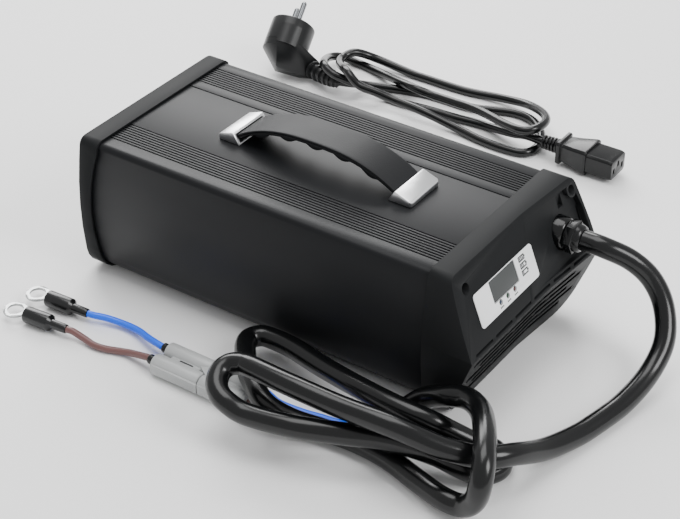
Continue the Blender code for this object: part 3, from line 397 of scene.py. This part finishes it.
# The well of the screw in the flat of the nose, opened a little so that it reads as a dark round hole
well = {"radius": 3.9, "start": 3.2, "reach": 30}
for name, (material, width) in plain.items():
    cutters = []
    if name == "front_cap":
        low, high = min((boxOf(f"front_screw_{index}") for index in (1, 2)), key=lambda box: box[0].y)
        at = place((low.x + well["start"], (low.y + high.y) / 2, (low.z + high.z) / 2), (1, 0, 0))
        profile = [(0, 0), (well["radius"], 0), (well["radius"], well["reach"]), (0, well["reach"])]
        cutters = [fromBmesh("well", addTurned(bmesh.new(), profile, at, 40))]
    refined(name, material, width, cutters=cutters)
for index in range(1, 5):
    refined(f"foot_{index}", "foot rubber", 0.2)

# Pan-head screws with a cross recess, in the places of the plain ones
screw = {"head": 2.9, "height": 2.5, "arm": 0.32, "reach": 1.75, "depth": 1.3, "turn": 0.5, "nextTurn": 0.7}
screwNames = ["front_screw_1", "front_screw_2"] + [f"rear_screw_{index}" for index in range(1, 5)]
for index, name in enumerate(screwNames):
    low, high = boxOf(name)
    way = 1 if name.startswith("front") else -1
    top = high.x if way > 0 else low.x
    head, tall = screw["head"], screw["height"]
    turn = screw["turn"] + screw["nextTurn"] * index
    at = place((top - way * tall, (low.y + high.y) / 2, (low.z + high.z) / 2), (way, 0, 0), turn)
    profile = [
        (0, -2), (1.5, -2), (1.5, 0), (head - 0.2, 0), (head, 0.25), (head, tall * 0.42), (head * 0.93, tall * 0.68),
        (head * 0.74, tall * 0.88), (head * 0.45, tall * 0.98), (0, tall),
    ]
    arm, reach = screw["arm"], screw["reach"]
    cross = [
        (reach, -arm), (reach, arm), (arm, arm), (arm, reach), (-arm, reach), (-arm, arm), (-reach, arm),
        (-reach, -arm), (-arm, -arm), (-arm, -reach), (arm, -reach), (arm, -arm),
    ]
    recess = fromBmesh("cross", addPrism(bmesh.new(), cross, tall - screw["depth"], tall + 1, at))
    piece(f"{name}_look", addTurned(bmesh.new(), profile, at, 40), "blackened steel", [name], cutters=[recess])

# Thin blades under the louvre slots, which catch the light from above in long fine lines
louvre = {
    "rows": 5, "first": 49.5, "pitch": 7.4, "halfSlot": 1.1, "start": -72.0, "stagger": 12, "length": 128.0,
    "step": 4.0, "tall": 0.7, "out": 0.8, "sunk": 0.6, "lean": 0.15, "noseFrom": 120,
}
capData = bmesh.new()
capData.from_mesh(cadNodes["front_cap"].data)
capTree = BVHTree.FromBMesh(capData)
capData.free()
blades = bmesh.new()
for row in range(louvre["rows"]):
    top = louvre["first"] - louvre["pitch"] * row - louvre["halfSlot"]
    low = top - louvre["tall"]
    start = louvre["start"] + (row % 2) * louvre["stagger"] - 1
    before = None
    for index in range(int(louvre["length"] / louvre["step"]) + 1):
        y = start + index * louvre["step"]
        found = capTree.ray_cast(Vector((0.4, y * mm, (top - 0.5) * mm)), Vector((-1, 0, 0)))[0]
        if found is None or found.x / mm + middle.x < louvre["noseFrom"]:
            continue
        x = found.x / mm + middle.x
        inner, outer = x - louvre["sunk"], x + louvre["out"]
        corners = [(inner, top), (outer, top), (outer - louvre["lean"], low), (inner, low)]
        after = [blades.verts.new((x, y, z)) for x, z in corners]
        if before:
            for spot in range(4):
                follow = (spot + 1) % 4
                blades.faces.new((before[spot], before[follow], after[follow], after[spot]))
        else:
            blades.faces.new(after)
        before = after
    blades.faces.new(before)
piece("louvre_blades", blades, "etched black plastic")

print("stage: display")
# Marks printed on the overlay: a fine frame round the window, rings round the lamps, a row of short bars under
# each ring, and three battery signs
display = {
    "slant": (22.0, 55.0), "ink": 0.05, "lift": 0.01,
    "window": (-2.0, 3.9, 30.5, 14.7), "frame": 0.26, "frameAway": 0.42,
    "lamps": ((-11.2, -6.1), (-2.2, -6.1), (6.8, -6.1)), "ring": (1.5, 1.95),
    "bar": (1.05, 1.1), "barPitch": 1.5, "barDrop": 3.5,
    "signs": ((22.5, 8.2), (22.7, 3.2), (22.6, -1.8)), "sign": (7.4, 3.9, 0.95), "pole": (0.7, 1.3),
    "cells": (-1.8, 1.7, 1.0),
}
slant = math.atan2(*display["slant"])
panelUp = Vector((-math.sin(slant), 0, math.cos(slant)))
panelOut = Vector((math.cos(slant), 0, math.sin(slant)))
overlay = cadNodes["display_overlay"]
corners = [overlay.matrix_world @ vert.co / mm + middle for vert in overlay.data.vertices]
sides, ups, outs = [[corner.dot(way) for corner in corners] for way in (Vector((0, 1, 0)), panelUp, panelOut)]
panelMiddle = Vector((0, (min(sides) + max(sides)) / 2, 0)) + panelUp * (min(ups) + max(ups)) / 2
panelMiddle += panelOut * (max(outs) + display["lift"])
panelTurn = Matrix((Vector((0, 1, 0)), panelUp, panelOut)).transposed().to_4x4()
panelAt = Matrix.Translation(panelMiddle) @ panelTurn


def addBar(bm, side, up, width, height):
    # A flat printed bar on the overlay, round the given spot
    half, tall = width / 2, height / 2
    corners = [(side - half, up - tall), (side + half, up - tall), (side + half, up + tall), (side - half, up + tall)]
    addPrism(bm, corners, 0, display["ink"], panelAt)


marks = bmesh.new()
inner, outer = display["ring"]
ring = [(inner, 0), (outer, 0), (outer, display["ink"]), (inner, display["ink"]), (inner, 0)]
for side, up in display["lamps"]:
    addTurned(marks, ring, panelAt @ Matrix.Translation((side, up, 0)), 32)
    for step in (-1, 0, 1):
        addBar(marks, side + step * display["barPitch"], up - display["barDrop"], *display["bar"])
width, height, line = display["sign"]
poleWidth, poleTall = display["pole"]
firstCell, cellPitch, cellWidth = display["cells"]
for index, (side, up) in enumerate(display["signs"]):
    for step in (-1, 1):
        addBar(marks, side, up + step * (height - line) / 2, width, line)
        addBar(marks, side + step * (width - line) / 2, up, line, height - 2 * line)
    addBar(marks, side + width / 2 + poleWidth / 2, up, poleWidth, poleTall)
    for cell in range(3 - index):
        addBar(marks, side + firstCell + cell * cellPitch, up, cellWidth, height - 2.2 * line)
piece("overlay_marks", marks, "black print and slot shade")
frameLine = bmesh.new()
side, up, width, height = display["window"]
line, away = display["frame"], display["frameAway"]
for step in (-1, 1):
    addBar(frameLine, side, up + step * (height / 2 + away), width + 1.1, line)
    addBar(frameLine, side + step * (width / 2 + away), up, line, height + 0.6)
piece("overlay_frame", frameLine, "black print and slot shade")

print("stage: handle")
# The strap arches between the clamps, flat in its middle and steeper towards its ends
strap = {
    "centre": 8.0, "side": -2.0, "span": 134.4, "end": 114.9, "rise": 16.9, "width": 29.6, "thick": 4.0,
    "stations": 241, "bow": 2.6, "tail": 5.5,
    "ridges": (-2, -1, 0, 1, 2), "ridgePitch": 22.3, "ridgeReach": 6.5, "ridgeDepth": 2.4,
}


def strapRing(x):
    # The outline of the strap at one station: a rolled edge on both sides and finger ridges below
    share = abs(x - strap["centre"]) / (strap["span"] / 2)
    top = strap["end"] + strap["rise"] * max(0.0, 1 - share ** strap["bow"])
    ridge = 0.0
    for step in strap["ridges"]:
        away = abs(x - strap["centre"] - step * strap["ridgePitch"]) / strap["ridgeReach"]
        if away < 1:
            ridge = max(ridge, strap["ridgeDepth"] * math.cos(away * math.pi / 2))
    low = top - strap["thick"] - ridge
    half = strap["width"] / 2
    right = [
        (half - 3.0, top), (half - 1.2, top - 0.04), (half - 0.5, top - 0.16), (half - 0.12, top - 0.45),
        (half, top - 0.8), (half - 0.05, top - 1.2), (half - 0.3, top - 1.5), (half - 0.8, top - 1.65),
        (half - 0.9, top - 1.8), (half - 0.75, top - 2.0), (half - 0.45, top - 2.1), (half - 0.3, top - 2.4),
        (half - 0.3, min(low + 0.9, top - 3.0)), (half - 0.5, low + 0.35), (half - 0.9, low + 0.1),
        (half - 1.6, low), (half - 6, low + ridge * 0.25),
    ]
    return [(x, strap["side"] + y, z) for y, z in right + [(-y, z) for y, z in reversed(right)]]


bm = bmesh.new()
reach = strap["span"] / 2 + strap["tail"]
rows = []
for index in range(strap["stations"]):
    x = strap["centre"] - reach + 2 * reach * index / (strap["stations"] - 1)
    rows.append([bm.verts.new(point) for point in strapRing(x)])
for low, high in zip(rows, rows[1:]):
    for index in range(len(low)):
        after = (index + 1) % len(low)
        bm.faces.new((low[index], low[after], high[after], high[index]))
bm.faces.new(rows[0])
bm.faces.new(rows[-1])
finished(fromBmesh("handle_strap_look", bm), "grained strap rubber", stands=["handle_strap"], smooth=50)

# Polished wedges over the ends of the strap, with rounded outer corners
clamp = {
    "width": 35.6, "base": 109.5, "inner": 69.7, "corner": 2.2, "ease": 0.55, "mouth": (-3, 9.0), "play": 0.3,
    "over": 1.3,
    "shape": [(0, 0), (4.8, 8.0), (6.0, 8.5), (16.8, 4.7), (18.5, 3.3), (18.5, 0)],
}
for name, way in (("clamp_right", 1), ("clamp_left", -1)):
    sideShape = clamp["shape"][::way]
    at = Matrix.Translation((strap["centre"], strap["side"], clamp["base"])) @ Matrix.Rotation(math.pi / 2, 4, "X")
    inner = clamp["inner"] - strap["centre"]
    outline = [(way * (inner + x), z) for x, z in sideShape]
    bm = addPrism(bmesh.new(), outline, -clamp["width"] / 2, clamp["width"] / 2, at)
    runs = [(edge, edge.verts[0].co - edge.verts[1].co) for edge in bm.edges]
    upright = [edge for edge, run in runs if abs(run.y) < 0.01 and abs(run.x) < 0.01]
    bmesh.ops.bevel(bm, geom=upright, offset=clamp["corner"], segments=5, profile=0.5, affect="EDGES")
    slot = bmesh.new()
    half = strap["width"] / 2 + clamp["play"]
    low, high = strap["end"] - strap["thick"] - clamp["play"], strap["end"] + clamp["over"]
    start, end = sorted(strap["centre"] + way * (inner + x) for x in clamp["mouth"])
    corners = [(start, low), (end, low), (end, high), (start, high)]
    across = Matrix.Translation((0, strap["side"], 0)) @ Matrix.Rotation(math.pi / 2, 4, "X")
    addPrism(slot, corners, -half, half, across)
    piece(f"{name}_look", bm, "polished metal", [name], clamp["ease"], 3, cutters=[fromBmesh("slot", slot)])

print("stage: cables")
# Both routes are repeated from the part's source, in housing millimetres
glandEnd, glandSide, glandHeight = 181.4, 51.0, 80.5
mainsAxis = 12.0
poleHeight, backPole, frontPole = 8.2, -129.4, -144.5
sleeveHeight = 6.4
batteryRoute = [
    (glandEnd + 0.3, glandSide, glandHeight), (197, 51.5, 80), (214, 59, 72), (228, 64, 59), (240, 61, 43),
    (249, 47, 27), (250, 25, 14), (247, -6, 8), (240, -41, 7), (230, -79, 12.7), (221.3, -109.8, 25.5),
    (210.6, -125.5, 29.3), (189.2, -140, 36.8), (160.1, -149, 45.9), (122.1, -152.2, 46.5),
    (87.2, -154.5, 48.7), (55.9, -152.9, 48), (46.8, -152, 46.6), (38.7, -154.6, 44.7),
    (35.5, -160.6, 42.3), (37.2, -167.7, 39.5), (42.6, -173.9, 37.1), (51.4, -177.1, 34.7),
    (66.3, -175.8, 30.4), (98.2, -170.5, 32), (124.8, -157.5, 29.9), (150.1, -141.1, 25.5),
    (175.4, -128.1, 17.1), (193.2, -125.1, 13), (202.8, -120.9, 9.3), (209, -114.5, 7.3),
    (212, -106.5, 7.3), (208.5, -98.5, 7.3), (200, -93.5, 7.3), (190.6, -95.7, 8.2), (178.7, -101.7, 14.8),
    (162, -111, 25.5), (139.9, -113.1, 27.9), (110.9, -108.9, 25.9), (73.4, -98.8, 20.5),
    (41.7, -90.9, 18.5), (23.3, -89.1, 17.5), (14.6, -90.8, 17.3), (10.2, -98, 17.2), (13.2, -106.4, 18),
    (20.8, -116.5, 19.6), (29.4, -126.5, 21.3), (40.5, -137, 22.6), (61.4, -150.7, 21.1),
    (79.2, -146.8, 13), (101.1, -138.8, 7.9), (123.5, -136.5, 7.7), (148.8, -138.2, 7.3),
    (178, -146.4, 7.8), (199, -153.1, 10.2), (213.3, -153.4, 11.8), (222.5, -155.7, 22.7),
    (225.9, -155.9, 37.5), (221.3, -144.7, 47.3), (208.8, -123.2, 48.7), (194.8, -104.4, 44.6),
    (180, -94.9, 41), (164.7, -93.5, 35.5), (145.3, -90.1, 22.1), (134, -96.2, 11.4), (129.2, -105.3, 8.6),
    (125.7, -110.5, 7.4),
]
mainsRoute = [
    (-149, 241, 11), (-141.6, 247.3, 9), (-129.5, 260.3, 4.5), (-103.6, 271, 3.6), (-76.7, 277.1, 3.6),
    (-39.9, 278.2, 3.6), (-21, 285, 3.6), (-4, 291, 3.6), (13, 289, 3.6), (27, 278, 3.6), (36, 263, 3.6),
    (38, 249, 3.6), (33, 239, 3.6), (17, 236, 3.6), (-6, 237, 3.6), (-33.6, 240.8, 5.2),
    (-60.9, 239.2, 10.5), (-89, 239.2, 12.5), (-106.4, 234.9, 17), (-121, 231, 21), (-136, 235, 28),
    (-157, 256, 19), (-166.6, 273.1, 14), (-161.2, 285.8, 15.5), (-145.1, 298.1, 8),
    (-106.8, 299.5, 3.6), (-60, 299.8, 3.6), (-25.9, 304.1, 5), (0, 301, 9), (23, 286, 16),
    (36, 270, 20), (38, 253, 22), (30, 244, 21), (12, 247, 19), (-20, 260, 15), (-48, 263.7, 13),
    (-70.1, 265.1, 12), (-91.2, 264.1, 14.2), (-131.1, 283.1, 5), (-159.3, 289.4, 3.6), (-177.1, 287, 6),
    (-180.4, 271.7, 10.8), (-162.9, 240.2, 24), (-149.7, 234.8, 21), (-137.5, 239, 16.5),
    (-126.1, 244.6, 12), (-107.9, 251.6, 4.5), (-88.1, 252.2, 3.6), (-65.4, 254.7, 3.6),
    (-42.7, 256.1, 3.6), (-13, 259, 3.6), (15, 253, 9), (29, 251, 12.6), (44, 251.5, mainsAxis),
]


def smoothRoute(points, steps=10):
    # Points along a smooth curve through the given ones
    ends = [Vector(point) for point in points]
    ends = [2 * ends[0] - ends[1]] + ends + [2 * ends[-1] - ends[-2]]
    route = []
    for a, b, c, d in zip(ends, ends[1:], ends[2:], ends[3:]):
        for step in range(steps):
            t = step / steps
            bend = 2 * b + (c - a) * t + (2 * a - 5 * b + 4 * c - d) * t * t
            route.append((bend + (3 * b - a - 3 * c + d) * t * t * t) / 2)
    route.append(ends[-2])
    return route


def routeLength(route):
    return sum((after - before).length for before, after in zip(route, route[1:]))


def cable(name, points, diameter, material, stands, roundness=7, steps=10):
    # A round cord along its route, kept on the floor, with its start and its length
    curve = bpy.data.curves.new(name, "CURVE")
    curve.dimensions = "3D"
    curve.bevel_depth = diameter / 2 * mm
    curve.bevel_resolution = roundness
    curve.use_fill_caps = True
    route = smoothRoute(points, steps)
    line = curve.splines.new("POLY")
    line.points.add(len(route) - 1)
    for point, here in zip(line.points, route):
        here.z = max(here.z, diameter / 2)
        point.co = (*((here - middle) * mm), 1.0)
    line.use_smooth = True
    made = linked(name, curve)
    finished(made, material, stands=stands)
    return made, (route[0] - middle) * mm, routeLength(route) * mm


# The cores leave the sheath side by side and dive under the hank to the connector; the wires go on to the sleeves
sheathEnd = Vector(batteryRoute[-1])
sheathWay = (sheathEnd - Vector(batteryRoute[-2])).normalized()
across = Vector((-sheathWay.y, sheathWay.x, 0))
coreStart = sheathEnd + sheathWay * 0.6
blueStart = coreStart - across * 2.8
brownStart = coreStart + across * 2.8
blueCore = [
    blueStart, blueStart + sheathWay * 6, (112, -121, 3.5), (101, -122.4, 2.6), (88, -124.5, 2.6), (73, -127.5, 3),
    (58, -130, 5), (48.3, backPole, poleHeight), (43.3, backPole, poleHeight),
]
brownCore = [
    brownStart, brownStart + sheathWay * 6, (112, -127, 3.5), (101, -128, 2.5), (88, -130.2, 2.5), (73, -137, 3),
    (60, -143, 5), (48.3, frontPole, poleHeight), (43.3, frontPole, poleHeight),
]
blueWire = [
    (-40, backPole, poleHeight), (-43, backPole + 0.3, poleHeight), (-56, -125.6, 6.6), (-68.5, -121.4, 5),
    (-81.7, -120.4, 4.5), (-96, -123.0, 5.5), (-104.7, -126.4, sleeveHeight), (-109.7, -127.2, sleeveHeight),
]
brownWire = [
    (-40, frontPole, poleHeight), (-43, frontPole + 0.1, poleHeight), (-58.8, -143.4, 4.2), (-68.7, -145.5, 3),
    (-77.2, -148.4, 3), (-86, -149.4, 3), (-95.1, -148.4, 3.8), (-104.7, -149.1, sleeveHeight),
    (-109.7, -149.6, sleeveHeight),
]

# Cable gland: a smooth round body with a soft rim, in front of which the dome nut grips the cable
gland = {"seat": 158.0, "radius": 11.5, "length": 11.5, "reach": 23.4}
glandAt = place((gland["seat"], glandSide, glandHeight), (1, 0, 0))
radius, length, reach = gland["radius"], gland["length"], gland["reach"]
profile = [
    (0, -8.5), (7.7, -8.5), (7.7, 0.3), (radius - 0.3, 0.3), (radius, 0.6), (radius, length - 1.5),
    (radius - 0.25, length - 0.9), (radius - 0.9, length - 0.3), (radius - 1.4, length + 0.1),
    (radius - 3.2, length + 0.2), (radius - 3.2, reach - 5), (0, reach - 5),
]
piece("gland_body_look", addTurned(bmesh.new(), profile, glandAt, 72), "black gland nylon", ["gland_body"])

# Connector: two round barrels with soft ends along a low bar, a notch between them at the free end, a thin black piece
# in the valley as painted shade for a slot, a wedge at the joint of the halves and fine ribs at the cable end
connector = {
    "left": -33.5, "side": -137.3, "apart": 7.5, "radius": 6.9, "level": 7.2, "web": 10.6, "ease": 0.5,
    "halves": ((-34.7, 4.6), (5.2, 43.2)), "ribs": (34.5, 2.6, 3),
    "notch": [(-34, -139.2), (-26.5, -139.2), (-26.5, -135.4), (-34, -135.4)],
    "wedge": [(-1.5, -137.3), (9.5, -144.2), (20, -144.2), (20, -130.4), (9.5, -130.4)], "wedgeLevels": (9, 13.6),
    "slot": [(-19, -137.9), (-8, -137.9), (-8, -136.7), (-19, -136.7)], "slotShadeLevels": (10.2, 10.75),
}


def uprightCutter(name, outline, low, high):
    # A cutter that stands upright on an outline
    return fromBmesh(name, addPrism(bmesh.new(), outline, low, high))


beyond = [(-60, -170), (connector["left"], -170), (connector["left"], -100), (-60, -100)]
flat = [(-60, -170), (80, -170), (80, -100), (-60, -100)]
endCutter = uprightCutter("end", beyond, -5, 25)
topCutter = uprightCutter("top", flat, connector["web"], 25)
notchCutter = uprightCutter("notch", connector["notch"], -5, 25)
refined("connector_battery_half", "grey nylon", connector["ease"], cutters=[endCutter, topCutter, notchCutter])
topCutter = uprightCutter("top", flat, connector["web"], 25)
refined("connector_cable_half", "grey nylon", connector["ease"], cutters=[topCutter])
barrels = bmesh.new()
size = connector["radius"]
rib = [(size - 0.5, 0), (size + 0.28, 0.25), (size + 0.28, 0.75), (size - 0.5, 1.0), (size - 0.5, 0)]
firstRib, ribPitch, ribCount = connector["ribs"]
for way in (-1, 1):
    side = connector["side"] + way * connector["apart"]
    for low, high in connector["halves"]:
        span = high - low
        profile = [
            (0, 0), (size - 1.4, 0), (size - 0.5, 0.35), (size, 1.2), (size, span - 1.0), (size - 0.4, span - 0.3),
            (size - 1.2, span), (0, span),
        ]
        addTurned(barrels, profile, place((low, side, connector["level"]), (1, 0, 0)), 48)
    for step in range(ribCount):
        addTurned(barrels, rib, place((firstRib + step * ribPitch, side, connector["level"]), (1, 0, 0)), 48)
addPrism(barrels, connector["wedge"], *connector["wedgeLevels"])
piece("connector_barrels", barrels, "grey nylon")
# A thin black piece laid in the valley between the barrels: painted shade that stands in for the slot
slot = addPrism(bmesh.new(), connector["slot"], *connector["slotShadeLevels"])
piece("connector_slot_shade", slot, "black print and slot shade")

# Short boots on the poles of the connector
boot = {"start": -33.7, "profile": [(0, 0), (3.6, 0), (3.6, 4.6), (3.45, 5.5), (3.1, 6.0), (0, 6.0)]}
for name, y in (("boot_blue", backPole), ("boot_brown", frontPole)):
    at = place((boot["start"], y, poleHeight), (-1, 0, 0))
    piece(f"{name}_look", addTurned(bmesh.new(), boot["profile"], at), "black cable vinyl", [name])

# Shrunk sleeves, narrow on the wire and with a step up to the barrel of the ring terminal
sleeve = {
    "gap": 0.3, "slopes": (-0.05, -0.07),
    "profile": [
        (0, 0), (2.8, 0), (3.1, 0.25), (3.3, 1.0), (3.4, 12.4), (3.7, 12.9), (5.6, 14.3), (5.95, 14.7), (6.1, 15.3),
        (6.1, 33.6), (5.95, 34.7), (5.5, 35.4), (4.8, 35.5), (0, 35.5),
    ],
}
for name, end, slope in zip(("sleeve_blue", "sleeve_brown"), (blueWire[-1], brownWire[-1]), sleeve["slopes"]):
    way = Vector((-1, slope, 0)).normalized()
    at = place(Vector(end) + way * sleeve["gap"], way)
    piece(f"{name}_look", addTurned(bmesh.new(), sleeve["profile"], at), "shrink sleeve", [name], smooth=24)

# Angled plug: a round front, a slanting back, a grip plate on each flank and a ribbed relief bent towards the cord
plug = {
    "face": (-211.0, 264.5, 37.0), "pinWay": (-0.159, 0.788, 0.594), "alongWay": (0.885, 0.380, -0.268),
    "radius": 19.3, "disc": 22.5, "neck": (33.5, 27, 9.0), "back": 28.6, "taper": 0.97, "bend": 7,
    "grip": (8, 26, 27), "gripInner": (15, 13), "proud": 0.65, "gripSink": 0.5,
    "ribs": 7, "ribSize": (7.9, 0.42), "ribPlaces": (0.06, 0.148),
    "cores": 24, "coreSize": (6.2, 0.075), "corePlaces": (0.02, 0.042),
}
pinWay = Vector(plug["pinWay"]).normalized()
alongWay = Vector(plug["alongWay"]).normalized()
sideWay = pinWay.cross(alongWay)
face = Vector(plug["face"])
radius = plug["radius"]


def inPlug(depth, along, side):
    # A place in the plug, by its depth behind the face, along the cord's side and across
    return face - pinWay * depth + alongWay * along + sideWay * side


bm = bmesh.new()
profile = [
    (0, 0), (16.6, 0), (17.9, -0.15), (18.7, -0.5), (19.15, -1.1), (radius, -2.0), (radius, -plug["disc"]),
    (0, -plug["disc"]),
]
addTurned(bm, profile, place(face, pinWay), 72)
neckDepth, neckAlong, neckRadius = plug["neck"]
neckEnd = inPlug(neckDepth, neckAlong, 0)
cordStart = Vector(mainsRoute[0])
cordWay = (Vector(mainsRoute[1]) - cordStart).normalized()
bend = cordStart - cordWay * plug["bend"]
neckWay = (bend - neckEnd).normalized()
points = []
for index in range(48):
    angle = 2 * math.pi * index / 48
    across, up = (radius - 0.1) * math.cos(angle), (radius - 0.1) * math.sin(angle)
    points.append(inPlug(plug["disc"] - 1, across, up))
    if math.cos(angle) < -0.35:
        points.append(inPlug(plug["back"], across, up * plug["taper"]))
for side in (-1, 1):
    points += [inPlug(44.4, 0, side * 5.0), inPlug(43.6, -2.5, side * 7.0)]
    points += [inPlug(41, -3, side * 10.0), inPlug(42.6, 20, side * 6.0)]
neck = place(neckEnd, neckWay)
for index in range(24):
    angle = 2 * math.pi * index / 24
    points.append(neck @ Vector((neckRadius * math.cos(angle), neckRadius * math.sin(angle), 0)))
back = bmesh.new()
addHull(back, points)
backMesh = bpy.data.meshes.new("back")
back.to_mesh(backMesh)
back.free()
bm.from_mesh(backMesh)
bpy.data.meshes.remove(backMesh)
top, bottom, spread = plug["grip"]
topInner, bottomInner = plug["gripInner"]
proud = radius + plug["proud"]
for flank in (-1, 1):
    points = []
    for index in range(9):
        angle = math.radians(flank * 90 + (index - 4) / 4 * spread)
        for depth, size in ((top, topInner), (top, proud), (bottom, proud - plug["gripSink"]), (bottom, bottomInner)):
            points.append(inPlug(depth, size * math.cos(angle), size * math.sin(angle)))
    addHull(bm, points)


def onRelief(share):
    # A place along the bent relief, from the plug's neck to the cord
    here = neckEnd * (1 - share) ** 2 + bend * 2 * share * (1 - share) + cordStart * share**2
    way = (bend - neckEnd) * (1 - share) + (cordStart - bend) * share
    return place(here, way)


ribSize, ribLess = plug["ribSize"]
ribStart, ribStep = plug["ribPlaces"]
for step in range(plug["ribs"]):
    size = ribSize - step * ribLess
    rib = [
        (0, -1.7), (size - 1.3, -1.6), (size - 1.1, -1.2), (size - 0.2, -1.0), (size, -0.7), (size, 0.9),
        (size - 0.2, 1.2), (size - 1.1, 1.4), (size - 1.3, 1.7), (0, 1.8),
    ]
    addTurned(bm, rib, onRelief(ribStart + step * ribStep), 36)
coreSize, coreLess = plug["coreSize"]
coreFrom, coreStep = plug["corePlaces"]
for step in range(plug["cores"]):
    size = coreSize - step * coreLess
    addTurned(bm, [(0, -1.0), (size, -1.0), (size, 1.0), (0, 1.0)], onRelief(coreFrom + step * coreStep), 24)
piece("plug_body_look", bm, "satin plug plastic", ["plug_body"], smooth=26)

# Each cord is drawn along its route at its thickness and hands back where it leaves the charger and how long it is; the
# cores and wires are listed with the pieces at their far ends
sheath, sheathExit, sheathLength = cable(
    "battery_cable_look", batteryRoute, 14.8, "black cable vinyl", ["battery_cable"], roundness=9, steps=8
)
onConnector = ["connector_cable_half_look", "connector_battery_half_look", "connector_barrels", "connector_slot_shade"]
onBlue = ["boot_blue_look", "sleeve_blue_look", "terminal_blue_look"]
onBrown = ["boot_brown_look", "sleeve_brown_look", "terminal_brown_look"]
for name, route, material, stands, pieces in (
    ("core_blue_look", blueCore, "blue insulation", "core_blue", onConnector),
    ("core_brown_look", brownCore, "brown insulation", "core_brown", onConnector),
    ("wire_blue_look", blueWire, "blue insulation", "wire_blue", onBlue),
    ("wire_brown_look", brownWire, "brown insulation", "wire_brown", onBrown),
):
    made, start, length = cable(name, route, 5.0, material, [stands])
mains, mainsExit, mainsLength = cable(
    "mains_cord_look", mainsRoute, 7.2, "black cable vinyl", ["mains_cord"], roundness=7, steps=8
)
print("lengths", round(sheathLength, 3), round(mainsLength, 3))

print("stage: floor, lights and camera")
bm = bmesh.new()
bmesh.ops.create_grid(bm, x_segments=1, y_segments=1, size=6)
floorMesh = bpy.data.meshes.new("floor")
bm.to_mesh(floorMesh)
bm.free()
floor = linked("floor", floorMesh)
floorMesh.materials.append(materials["studio floor"])

world = bpy.data.worlds.new("studio")
scene.world = world
world.use_nodes = True
world.node_tree.nodes["Background"].inputs["Color"].default_value = (1.0, 1.0, 1.0, 1.0)
world.node_tree.nodes["Background"].inputs["Strength"].default_value = 0.75


def softbox(name, at, target, size, power):
    # A soft rectangular light at a place, turned towards its target
    light = bpy.data.lights.new(name, "AREA")
    light.shape = "RECTANGLE"
    light.size, light.size_y = size
    light.energy = power
    made = linked(name, light)
    made.location = at
    way = Vector(target) - Vector(at)
    made.rotation_euler = way.to_track_quat("-Z", "Y").to_euler()


softbox("back softbox", (-1.35, 1.4, 1.25), (0, 0, 0.05), (1.7, 1.3), 62)
softbox("top softbox", (-0.3, 0.2, 2.0), (0, 0, 0), (1.4, 1.2), 25)
softbox("side softbox", (1.5, 0.1, 1.3), (0.1, 0, 0.05), (0.7, 0.9), 22)

# The camera stands where the photograph was taken from
camera = bpy.data.cameras.new("camera")
camera.sensor_fit = "HORIZONTAL"
camera.sensor_width = 36.0
camera.lens = 94.89
view = linked("camera", camera)
view.location = (0.59605, -0.8651, 0.7562)
view.rotation_euler = (math.radians(90 - 34.73), 0, math.radians(34.35))
scene.camera = view
